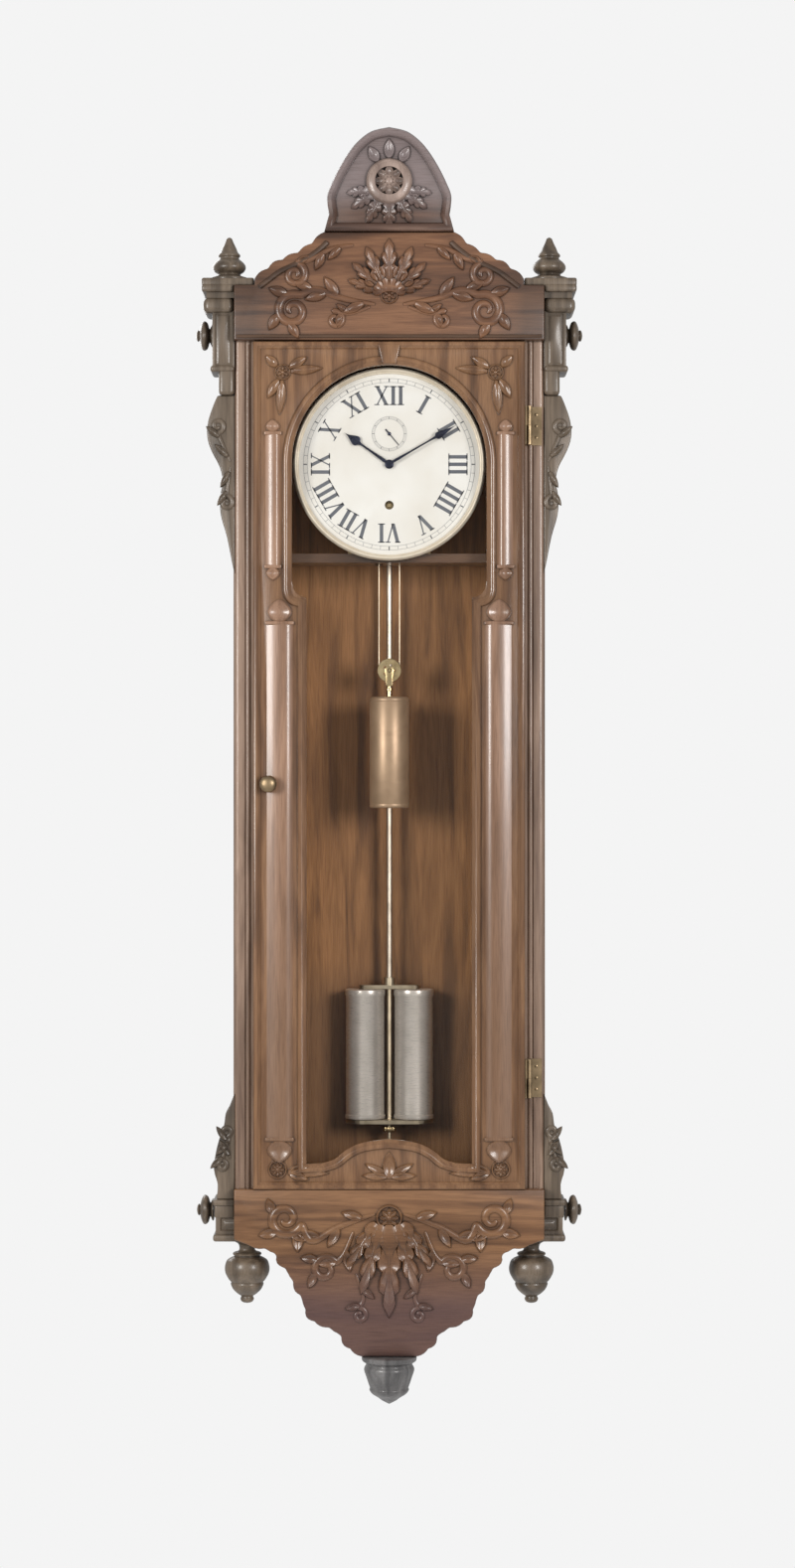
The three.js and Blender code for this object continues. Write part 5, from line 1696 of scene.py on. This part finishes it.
@dataclass
class Door:
    """The glazed door: its frame, mouldings, carving, glass, knob and hinges."""

    frame: dict
    arch: float = 0.152
    waist: float = 0.129
    side_drop: float = 0.185
    shoulder: float = 0.026
    foot_rail: float = 0.039
    hump: float = 0.039
    rebate: float = 0.006
    rebate_depth: float = 0.005
    relief: float = 0.005
    sunk: float = 0.0006
    moulding: float = 0.014
    opening_section: Line = (
        (0, 0.0022), (0.0012, 0.0018), (0.002, 0.0010), (0.0022, 0.0003), (0.0020, -0.0006),
        (0.0012, -0.0012), (0.0010, 0), (0.0020, -0.0014), (0.0024, -0.0021))
    edge_section: Line = (
        (0, 0.0020), (0.0012, 0.0018), (0.0024, 0.0010), (0.0026, 0), (0.0020, -0.0016),
        (0.0008, -0.0008), (0.0014, 0), (0.0022, -0.0024))
    waist_torus: Flat = (0.1710, 0.0215)
    head_torus: Flat = (0.1815, 0.0125)
    torus_rise: float = 0.0055
    torus_crown: float = 0.35
    knob_height: float = -0.760
    knob_radius: float = 0.013
    knob_shares: Line = (
        (0, 0), (0.92, 0), (1, 0.04), (0.96, 0.10), (0.62, 0.16), (0.42, 0.24), (0.40, 0.34),
        (0.62, 0.44), (0.92, 0.55), (1, 0.68), (0.93, 0.82), (0.66, 0.93), (0.30, 0.985), (0, 1))

    def opening(self, margin: float) -> list[Flat]:
        """Draws the outline of the opening, made wider all round by a margin.

        Args:
            margin: how much wider it is.

        Returns:
            Both halves, from the top.
        """
        middle = dial_height()
        foot = box_of("door_frame")[0].z + self.foot_rail - margin
        head, waist = self.arch + margin, self.waist + margin
        side = middle - self.side_drop
        arch = [(head * math.sin(angle), middle + head * math.cos(angle))
                for angle in evenly(0, QUARTER_TURN, 20)]
        shares = smooth_line([(1, 0), (0.92, 0.38), (0.71, 0.71), (0.38, 0.92), (0, 1)], 2)
        shoulder = [(waist + x * (head - waist), side - margin - z * self.shoulder)
                    for x, z in shares]
        bumps = smooth_line([(0.72, 0.04), (0.55, 0.24), (0.42, 0.62), (0.26, 0.88), (0, 1)], 3)
        hump = [(x * waist, foot + z * self.hump) for x, z in [(1, 0), *bumps]]
        return both_halves([*arch, *shoulder, *hump])

    def ground(self) -> float:
        """The depth of the frame's face."""
        return -box_of("door_frame")[0].y - self.relief

    def frame_board(self) -> None:
        """Builds the frame with its opening, rebate and the hole for the knob's shaft."""
        low, high = box_of("door_frame")
        back, face, past = -high.y, self.ground(), 0.01
        piece = sawn("door_frame_board", [(low.x, low.z), (high.x, low.z), (high.x, high.z),
                                          (low.x, high.z)], back, face)
        cut(piece, sawn("opening_cutter", self.opening(0), back - past, face + past))
        cut(piece, sawn("rebate_cutter", self.opening(self.rebate), back - past,
                        back + self.rebate_depth))
        knob_low, knob_high = box_of("door_knob")
        shaft = round_bar("shaft_cutter", 0.0034, 0, 0.06)
        cut(piece, moved(shaft, ((knob_low.x + knob_high.x) / 2, -back + 2 * past, self.knob_height),
                         TO_FRONT))
        dressed(bevelled(piece, 0.0015, 2), Finishes.DOOR, "door_walnut", "door", "door_frame")

    def mouldings(self) -> None:
        """Runs the moulding round the opening and the one along the door's edge."""
        low, high = box_of("door_frame")
        ground = self.ground() - 0.0005
        corners = [(low.x, low.z), (low.x, high.z), (high.x, high.z), (high.x, low.z)]
        inner = stepped_frame("opening_moulding", self.opening(self.moulding), ground,
                              self.opening_section)
        outer = stepped_frame("door_edge_moulding", corners, ground, self.edge_section)
        dressed(joined("door_mouldings", [inner, outer]), Finishes.DOOR, "door_walnut", "door")

    def stile_torus(self, hand: Hand, name: str, middle: float, half: float, foot: float,
                    top: float) -> None:
        """Runs a broad rounded moulding up a stile, with carved stops at its ends.

        Args:
            hand: the stile's side.
            name: the moulding's name.
            middle: how far its middle line is from the clock's.
            half: half its width.
            foot: the height at which it starts.
            top: the height at which it ends.
        """
        ground = self.ground() - self.sunk
        section = []
        for share in evenly(-1, 1, 20):
            out = share + self.torus_crown
            fall = (out / (1 + math.copysign(self.torus_crown, out))) ** 2
            section.append((hand.value * (middle + half * share),
                            ground + self.torus_rise * (1 - fall)))
        parts = [run_moulding("torus", section, foot, top)]
        stop = Leaf(half * 1.7, half * 1.8, 0.0056)
        for z, way in ((foot, -1), (top, 1)):
            parts.append(stop.place(hand.value * middle, z + way * 0.001, ground,
                                    0 if way > 0 else 180))
            collar = sawn("collar", [(hand.value * (middle + dx * (half + 0.0012)), z + dz * 0.003)
                                     for dx, dz in ((-1, -1), (1, -1), (1, 1), (-1, 1))],
                          ground, ground + 0.0056)
            parts.append(bevelled(collar, 0.0018))
        # The stile finish is lighter as a painted highlight and darker low down as painted shade.
        dressed(joined(f"{name}_{hand.word}", parts), Finishes.STILE, "door_walnut", "door")

    def carving(self) -> None:
        """Carves the keystone, the sprays in the spandrels and the marks on the foot rail."""
        low, high = box_of("door_frame")
        ground = self.ground() - self.sunk
        key_top, key_foot = high.z - 0.004, dial_height() + self.arch + 0.001
        key = sawn("keystone", [(-0.018, key_top), (0.018, key_top), (0.011, key_foot),
                                (-0.011, key_foot)], ground, ground + 0.0055)
        parts = [bevelled(key, 0.002)]
        spandrel, rail = (0.166, high.z - 0.048), (0.174, low.z + 0.031)
        spandrel_leaves = [(angle, Leaf(length, 0.016, 0.0048)) for angle, length in
                           ((-84, 0.052), (-58, 0.034), (176, 0.056), (150, 0.036), (45, 0.026))]
        rail_leaves = [(angle, Leaf(length, 0.015, 0.0046)) for angle, length in
                       ((-92, 0.066), (-74, 0.036), (-110, 0.036))]
        for hand in Hand:
            side = hand.value
            parts.append(rosette(side * spandrel[0], spandrel[1], ground, 0.013, 6))
            parts.extend(fan(spandrel, ground, spandrel_leaves, 0.012, side))
            parts.append(rosette(side * rail[0], rail[1], ground, 0.015, 8))
            parts.extend(fan((rail[0] - 0.016, rail[1] - 0.004), ground, rail_leaves, side=side))
        parts.append(Leaf(0.044, 0.022).place(0, low.z + 0.016, ground, 0))
        hump_leaves = [(angle, Leaf(0.044, 0.014, 0.0048)) for angle in (-62, 62, -88, 88)]
        parts.extend(fan((0, low.z + 0.020), ground, hump_leaves))
        dressed(joined("door_carving", parts), Finishes.DOOR, "door_walnut", "door")

    def door_knob(self) -> None:
        """Turns the knob, with its shaft and the tongue that turns behind the stile."""
        low, high = box_of("door_knob")
        front = box_of("door_frame")[0].y
        x = (low.x + high.x) / 2
        head = turned("knob_head", [(radius * self.knob_radius, height * (front - low.y))
                                    for radius, height in lathe_line(self.knob_shares)])
        moved(head, (x, front, self.knob_height), TO_FRONT)
        shaft = round_bar("knob_shaft", 0.003, 0, high.y - front - 0.002)
        moved(shaft, (x, high.y - 0.001, self.knob_height), TO_FRONT)
        trim = 0.0085
        tongue = bar("knob_tongue", (low.x + trim, high.y - 0.004, low.z),
                     (high.x - trim, high.y, self.knob_height + 0.0045))
        piece = joined("knob_turned", [head, shaft, bevelled(tongue, 0.0012)])
        dressed(piece, Finishes.AGED, "brass", "latch", "door_knob")

    def hinge_screws(self) -> None:
        """Adds the slotted screws of the hinges' case leaves."""
        parts = []
        face = -box_of("face_stile_right")[0].y + 0.0019
        for place in ("upper", "lower"):
            low, high = box_of(f"hinge_{place}_case_leaf")
            for share in (0.2, 0.5, 0.8):
                head = turned("screw", [(0, 0.0006), (0.0016, 0.0005), (0.0026, 0),
                                        (0.0026, -0.0008), (0, -0.0008)], 20)
                cut(head, bar("slot_cutter", (-0.0003, -0.004, 0.0001), (0.0003, 0.004, 0.002)))
                height = low.z + share * (high.z - low.z)
                parts.append(moved(head, (high.x - 0.009, -face, height), TO_FRONT))
        dressed(joined("hinge_screws", parts), Finishes.AGED, "brass", "case")

    def build(self) -> None:
        """Builds the door."""
        self.frame_board()
        self.mouldings()
        foot = box_of("door_frame")[0].z + 0.078
        side = dial_height() - self.side_drop
        for hand in Hand:
            self.stile_torus(hand, "waist_torus", *self.waist_torus, foot, side - 0.066)
            self.stile_torus(hand, "head_torus", *self.head_torus, side + 0.022, side + 0.230)
        self.carving()
        self.door_knob()
        self.hinge_screws()
        dress_node(self.frame, "door_glass", Finishes.GLASS)
        for leaf in ("case_leaf", "door_leaf"):
            for place in ("upper", "lower"):
                dress_node(self.frame, f"hinge_{place}_{leaf}", Finishes.AGED)


# The dial and its hands


@dataclass(frozen=True)
class Pointer:
    """A hand: its right edge from the tip down, its angle in degrees, its boss and its pipe."""

    node: str
    body: str
    edge: Line
    angle: float
    boss: float
    piped: bool = False


@dataclass
class Dial:
    """The enamelled dial with Roman hours, a seconds ring, the bezel and the hands."""

    radius: float = 0.150
    thickness: float = 0.002
    print_height: float = 0.00022
    print_sunk: float = 0.0001
    numeral_radius: float = 0.108
    numeral_height: float = 0.030
    track_inner: float = 0.1285
    track_outer: float = 0.1345
    seconds_height: float = 0.048
    seconds_radius: float = 0.027
    seconds_track: float = 0.004
    foot_side: float = 0.047
    bezel_width: float = 0.0095
    numerals: tuple[str, ...] = ("XII", "I", "II", "III", "IIII", "V", "VI", "VII", "VIII", "IX",
                                 "X", "XI")
    letter_widths: dict[str, float] = field(default_factory=lambda: {"I": 0.36, "V": 0.78, "X": 0.78})
    letter_space: float = 0.03
    serif: float = 0.055
    thick: float = 0.185
    thin: float = 0.07
    hour: Pointer = Pointer("hour_hand", "hour", (
        (0, 0.086), (0.0016, 0.078), (0.0074, 0.066), (0.0066, 0.060), (0.0020, 0.055),
        (0.0017, 0.034), (0.0026, 0.010), (0, 0)), 305, 0.0072, piped=True)
    minute: Pointer = Pointer("minute_hand", "minute", (
        (0, 0.124), (0.0011, 0.112), (0.0054, 0.092), (0.0048, 0.086), (0.0016, 0.080),
        (0.0014, 0.040), (0.0022, 0.010), (0, 0)), 60, 0.006)
    seconds: Pointer = Pointer("seconds_hand", "escape", (
        (0, 0.024), (0.0005, 0.020), (0.0006, 0.004), (0.0011, -0.005), (0.0009, -0.009),
        (0, -0.009)), 140, 0.0024)

    def __post_init__(self) -> None:
        """Reads the dial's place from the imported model."""
        self.height = dial_height()
        self.face = -box_of("dial")[0].y

    def plate(self) -> None:
        """Builds the dial plate with its three holes and its feet."""
        thickness, rim = self.thickness, self.radius - 0.0005
        disc = turned("dial_plate", [(0, 0), (self.radius - 0.0006, 0), (self.radius, 0.0006),
                                     (self.radius, thickness - 0.0005), (rim, thickness),
                                     (0, thickness)], FINE_STEPS)
        for radius, z in ((0.0065, 0), (0.007, -0.064), (0.0032, self.seconds_height)):
            cut(disc, moved(round_bar("dial_hole", radius, -0.01, 0.01, 24), (0, z, 0)))
        parts = [moved(disc, (0, thickness - self.face, self.height), TO_FRONT)]
        rear = box_of("dial")[1].y
        for x in (-self.foot_side, self.foot_side):
            for z in (0.4 * self.radius, -0.5 * self.radius):
                foot = turned("dial_foot", [(0, 0), (0.003, 0), (0.003, 0.018), (0.0042, 0.0185),
                                            (0, 0.0185)], 16)
                parts.append(moved(foot, (x, rear, self.height + z), TO_FRONT))
        dressed(joined("dial_enamel", parts), Finishes.ENAMEL, "enamel", "case", "dial")

    def printed(self, name: str, outline: Line) -> Piece:
        """Prints a shape on the dial, very thin."""
        return sawn(name, outline, self.face - self.print_sunk, self.face + self.print_height)

    def letter(self, letter: str, x: float) -> list[Piece]:
        """Prints one letter of a numeral with its foot on the line z = 0.

        Args:
            letter: I, V or X.
            x: where its left edge is.

        Returns:
            Its strokes and its serifs.
        """
        size = self.numeral_height
        end, serif = x + self.letter_widths[letter] * size, self.serif * size
        heavy, light = self.thick * size / 2, self.thin * size / 2
        left, right, middle, head = x + 0.14 * size, end - 0.12 * size, (x + end) / 2, size - serif
        strokes = {"I": [(middle, middle, heavy)],
                   "V": [(middle, left, heavy), (middle, right, light)],
                   "X": [(right - 0.02 * size, left, heavy), (left, right, light)]}
        caps = {"I": [(x, end, 0), (x, end, head)],
                "V": [(x, left + 0.14 * size, head), (right - 0.14 * size, end, head)],
                "X": [(x, left + 0.15 * size, head), (right - 0.15 * size, end, head),
                      (x, left + 0.13 * size, 0), (right - 0.18 * size, end, 0)]}
        outlines = [[(x0 - half, 0), (x0 + half, 0), (x1 + half, size), (x1 - half, size)]
                    for x0, x1, half in strokes[letter]]
        outlines += [[(x0, z), (x1, z), (x1, z + serif), (x0, z + serif)]
                     for x0, x1, z in caps[letter]]
        return [self.printed("stroke", outline) for outline in outlines]

    def chapter_ring(self) -> None:
        """Prints the hours and the minute track."""
        parts = []
        size = self.numeral_height
        for hour, word in enumerate(self.numerals):
            steps = [(self.letter_widths[letter] + self.letter_space) * size for letter in word]
            place = (self.letter_space * size - sum(steps)) / 2
            strokes = []
            for letter, step in zip(word, steps):
                strokes.extend(self.letter(letter, place))
                place += step
            numeral = moved(joined("numeral", strokes), (0, 0, self.numeral_radius - size / 2))
            parts.append(moved(numeral, (0, 0, self.height), (0, FULL_TURN * hour / 12, 0)))
        for radius in (self.track_inner, self.track_outer):
            parts.append(self.ring(radius, 0.0004, self.height))
        for steps, width, inner in ((60, 0.0005, self.track_inner),
                                    (12, 0.0016, self.track_inner + 0.001)):
            parts.append(self.ticks(steps, width, inner, self.track_outer, self.height))
        dressed(joined("dial_printing", parts), Finishes.INK, "blued_steel", "case")

    def ring(self, radius: float, width: float, height: float) -> Piece:
        """Prints a circle round a height on the dial's upright middle line."""
        ring = tube("printed_ring", radius, radius + width, -self.print_sunk, self.print_height,
                    FINE_STEPS)
        return moved(ring, (0, -self.face, height), TO_FRONT)

    def ticks(self, steps: int, width: float, inner: float, outer: float, height: float) -> Piece:
        """Prints even ticks between two radii round a height on the dial's middle line."""
        tick = self.printed("printed_tick", [(-width / 2, inner), (width / 2, inner),
                                             (width / 2, outer), (-width / 2, outer)])
        return moved(repeated_round(tick, steps), (0, 0, height))

    def seconds_ring(self) -> None:
        """Prints the seconds ring."""
        height = self.height + self.seconds_height
        outer, inner = self.seconds_radius, self.seconds_radius - self.seconds_track
        parts = [self.ring(outer, 0.0003, height), self.ring(inner, 0.0003, height),
                 self.ticks(60, 0.0003, inner, outer, height),
                 self.ticks(12, 0.0009, inner, outer, height)]
        dressed(joined("seconds_printing", parts), Finishes.INK, "blued_steel", "case")

    def bezel(self) -> None:
        """Turns the pale brass bezel with a rounded front and a stepped inner lip."""
        low, high = box_of("dial_bezel")
        outer, depth = (high.x - low.x) / 2, high.y - low.y
        inner = outer - self.bezel_width
        profile = smooth_line([(outer, 0.0004), (outer, 0.38 * depth), (outer - 0.0014, 0.72 * depth),
                               (outer - 0.0036, 0.97 * depth), (outer - 0.0056, 0.94 * depth),
                               (outer - 0.0068, 0.66 * depth), (outer - 0.0072, 0.50 * depth),
                               (inner + 0.0010, 0.44 * depth), (inner + 0.0003, 0.36 * depth)], 3)
        piece = turned("bezel_ring", [*profile, (inner, 0), (outer, 0), (outer, 0.0004)], FINE_STEPS)
        moved(piece, (0, high.y, self.height), TO_FRONT)
        dressed(piece, Finishes.BEZEL, "brass", "case", "dial_bezel")

    def hand(self, pointer: Pointer, centre: float) -> None:
        """Cuts a hand with a domed boss.

        Args:
            pointer: its shape.
            centre: the height of its arbor.
        """
        node, boss = pointer.node, pointer.boss
        low, high = box_of(node)
        front = -low.y
        blade = sawn("blade", both_halves(smooth_line(pointer.edge)), front - 0.0013,
                     front - 0.0002)
        cap = turned("boss", [(0, -0.0004), (boss * 0.5, -0.0005), (boss * 0.92, -0.0009),
                              (boss, -0.0014), (boss, -0.0026), (0, -0.0026)], 32)
        parts = [bevelled(blade, 0.0004, 2), moved(cap, (0, -front, 0), TO_FRONT)]
        if pointer.piped:
            pipe = tube("pipe", 0.0034, 0.0052, 0, high.y - low.y - 0.002, 24)
            parts.append(moved(pipe, (0, high.y, 0), TO_FRONT))
        piece = joined(f"{node}_cut", parts)
        moved(piece, (0, 0, centre), (0, math.radians(pointer.angle), 0))
        dressed(piece, Finishes.BLUED, "blued_steel", pointer.body, node)

    def build(self) -> None:
        """Builds the dial."""
        self.plate()
        self.chapter_ring()
        self.seconds_ring()
        self.bezel()
        self.hand(self.hour, self.height)
        self.hand(self.minute, self.height)
        self.hand(self.seconds, self.height + self.seconds_height)


# The weight and the pendulum


@dataclass
class Drive:
    """The brass weight, its pulley and fork, and the cable."""

    cable_radius: float = 0.001
    cable_offset: float = 0.0163
    cable_depth: float = 0.120
    barrel_above_bezel: float = 0.0875
    cheek: float = 0.002
    weight_shares: Line = (
        (0, 0), (0.90, 0), (0.97, 0.006), (1, 0.020), (1, 0.035), (0.985, 0.040), (1, 0.045),
        (1, 0.955), (0.985, 0.960), (1, 0.965), (1, 0.978), (0.96, 0.992), (0.88, 1),
        (0.80, 0.996), (0.30, 0.985), (0.26, 0.985))
    socket_radius: float = 0.0045
    groove_depth: float = 0.004
    web: float = 0.003
    hole_count: int = 5
    hole_circle: float = 0.0086
    hole_radius: float = 0.0019

    def weight(self) -> None:
        """Turns the weight's shell with its two ringed ends and the hook's socket."""
        low, high = box_of("weight")
        socket = self.socket_radius / ((high.y - low.y) / 2)
        profile = [*self.weight_shares, (socket, 0.985), (socket, 0.93), (0, 0.93)]
        piece = turned_to_fit("weight_shell", "weight", profile, 64)
        dressed(piece, Finishes.WEIGHT, "weight_brass", "drive", "weight")

    def pulley(self) -> None:
        """Turns the grooved pulley wheel and pierces it with holes."""
        low, high = box_of("pulley_wheel")
        rim, half = (high.z - low.z) / 2, (high.y - low.y) / 2
        groove = rim - self.groove_depth
        side = [(0.0026, 1), (0.0055, 1), (0.0055, 0.5), (groove - self.web, 0.5),
                (groove - self.web, 1), (rim - 0.0006, 1), (rim, 0.8), (rim - 0.0006, 0.45)]
        profile = [*((r, -half * share) for r, share in side), (groove + 0.0002, 0),
                   *((r, half * share) for r, share in reversed(side)), (0.0026, -half)]
        wheel = turned("pulley_turned", profile, 48)
        for angle in evenly(0, FULL_TURN, self.hole_count)[:-1]:
            hole = round_bar("pulley_hole", self.hole_radius, -0.01, 0.01, 16)
            cut(wheel, moved(hole, (self.hole_circle * math.cos(angle),
                                    self.hole_circle * math.sin(angle), 0)))
        moved(wheel, (0, (low.y + high.y) / 2, (low.z + high.z) / 2), TO_FRONT)
        dressed(wheel, Finishes.BRASS, "brass", "pulley", "pulley_wheel")

    def fork(self) -> None:
        """Forges the pulley's fork: round-headed cheeks, a yoke, a turned stem and the pin."""
        low, high = box_of("pulley_fork")
        wheel_low, wheel_high = box_of("pulley_wheel")
        centre, rim = (wheel_low.z + wheel_high.z) / 2, (wheel_high.z - wheel_low.z) / 2
        half, middle = (high.x - low.x) / 2, (low.y + high.y) / 2
        seat, waist = centre - rim - 0.001, half * 0.74
        head = [(half * math.cos(angle), centre + half * math.sin(angle))
                for angle in evenly(0, math.pi, 16)]
        side = [(half * 0.9, centre - half * 0.7), (waist, centre - half * 1.5),
                (waist, seat - 0.003), (waist * 0.6, seat - 0.005)]
        outline = [*head, *((-x, z) for x, z in side), *reversed(side)]
        parts = [bevelled(sawn("fork_cheek", outline, front - self.cheek, front), 0.0004, 2)
                 for front in (-low.y, -high.y + self.cheek)]
        inset = self.cheek / 2
        parts.append(bar("fork_yoke", (-waist * 0.8, low.y + inset, seat - 0.0047),
                         (waist * 0.8, high.y - inset, seat)))
        stem = turned("fork_stem", [(0, low.z), (0.004, low.z), (0.004, seat - 0.0125),
                                    (0.0058, seat - 0.0115), (0.0058, seat - 0.0085),
                                    (0.004, seat - 0.0075), (0.004, seat - 0.004),
                                    (0, seat - 0.004)], 32)
        parts.append(moved(stem, (0, middle, 0)))
        reach = (high.y - low.y) / 2
        end = [(0.0021, reach), (0.0034, reach), (0.0022, reach + 0.0012), (0, reach + 0.0014)]
        pin = turned("fork_pin", [*((r, -y) for r, y in reversed(end)), *end], 24)
        parts.append(moved(pin, (0, middle, centre), TO_FRONT))
        dressed(joined("fork_forged", parts), Finishes.BRASS, "brass", "drive", "pulley_fork")

    def cable(self) -> None:
        """Lays the cable from the barrel under the pulley and up to the seat board."""
        depth = -self.cable_depth
        low, high = box_of("pulley_wheel")
        turn_height = (low.z + high.z) / 2
        barrel_height = box_of("dial_bezel")[0].z + self.barrel_above_bezel
        seat = box_of("seat_board")[1].z
        fall = self.cable_offset
        down = [(-fall, depth, z) for z in evenly(barrel_height, turn_height, 18)[:-1]]
        bend = [(-fall * math.cos(angle), depth, turn_height - fall * math.sin(angle))
                for angle in evenly(0, math.pi, 12)]
        rise = [(fall, depth, z) for z in evenly(turn_height, seat, 18)[1:]]
        piece = rod("cable_laid", [*down, *bend, *rise], self.cable_radius, sides=2)
        finished(piece, Finishes.LINE, "steel", "cable")
        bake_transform(piece)

    def build(self) -> None:
        """Builds the drive."""
        self.weight()
        self.pulley()
        self.fork()
        self.cable()


@dataclass
class Pendulum:
    """The pendulum: its rod, the brass frame, two jars of quicksilver and the rating nut."""

    frame: dict
    jar_shares: Line = (
        (0, 0), (0.94, 0), (0.99, 0.004), (1, 0.012), (1, 0.030), (0.965, 0.036), (0.965, 0.940),
        (0.985, 0.946), (1, 0.955), (1, 0.985), (0.98, 0.996), (0.90, 1), (0, 1))
    teeth: int = 36
    tooth_share: float = 0.94

    def jars(self) -> None:
        """Turns the two jars with their footings and caps."""
        for hand in Hand:
            node = f"jar_{hand.word}"
            piece = turned_to_fit(f"jar_turned_{hand.word}", node, self.jar_shares, 64)
            dressed(piece, Finishes.SILVER, "silvered", "pendulum", node)

    def nut(self) -> None:
        """Saws the rating nut with a knurled rim."""
        low, high = box_of("rating_nut")
        radius, middle = (high.x - low.x) / 2, (low + high) / 2
        outline = []
        for step, angle in enumerate(evenly(0, FULL_TURN, self.teeth * 2)[:-1]):
            reach = radius if step % 2 else radius * self.tooth_share
            outline.append((reach * math.cos(angle), reach * math.sin(angle)))
        nut = moved(sawn("nut_knurled", outline, low.z - high.z, 0), turn=TO_FRONT)
        bevelled(nut, 0.0006, 2, 1.2)
        foot = min(vertex.co.z for vertex in nut.data.vertices)
        moved(nut, (middle.x, middle.y, low.z - foot))
        dressed(nut, Finishes.BRASS, "brass", "pendulum", "rating_nut")

    def build(self) -> None:
        """Builds the pendulum and dresses what it hangs from."""
        self.jars()
        self.nut()
        for node, finish in (("pendulum_rod", Finishes.ROD), ("jar_frame", Finishes.FRAME),
                             ("suspension_spring", Finishes.BLUED),
                             ("suspension_bracket", Finishes.STEEL)):
            dress_node(self.frame, node, finish)


@dataclass
class Movement:
    """The brass and steel movement behind the dial, as packed."""

    frame: dict
    brass: tuple[str, ...] = ("back_plate", "front_plate", "great_wheel", "centre_wheel",
                              "third_wheel", "escape_wheel", "winding_barrel")

    def build(self) -> None:
        """Dresses the movement."""
        for node in self.brass:
            dress_node(self.frame, node, Finishes.BRASS)
        dress_node(self.frame, "pallet_anchor", Finishes.STEEL)


def main() -> None:
    """Builds the clock in its studio, sub-assembly by sub-assembly."""
    logging.basicConfig(level=logging.INFO, format="%(message)s")
    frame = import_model()
    Studio().build()
    CaseWork(frame).build()
    Crest().build()
    Corners().build()
    Apron().build()
    Door(frame).build()
    Dial().build()
    Drive().build()
    Pendulum(frame).build()
    Movement(frame).build()
    clear_selection()


if __name__ == "__main__":
    main()
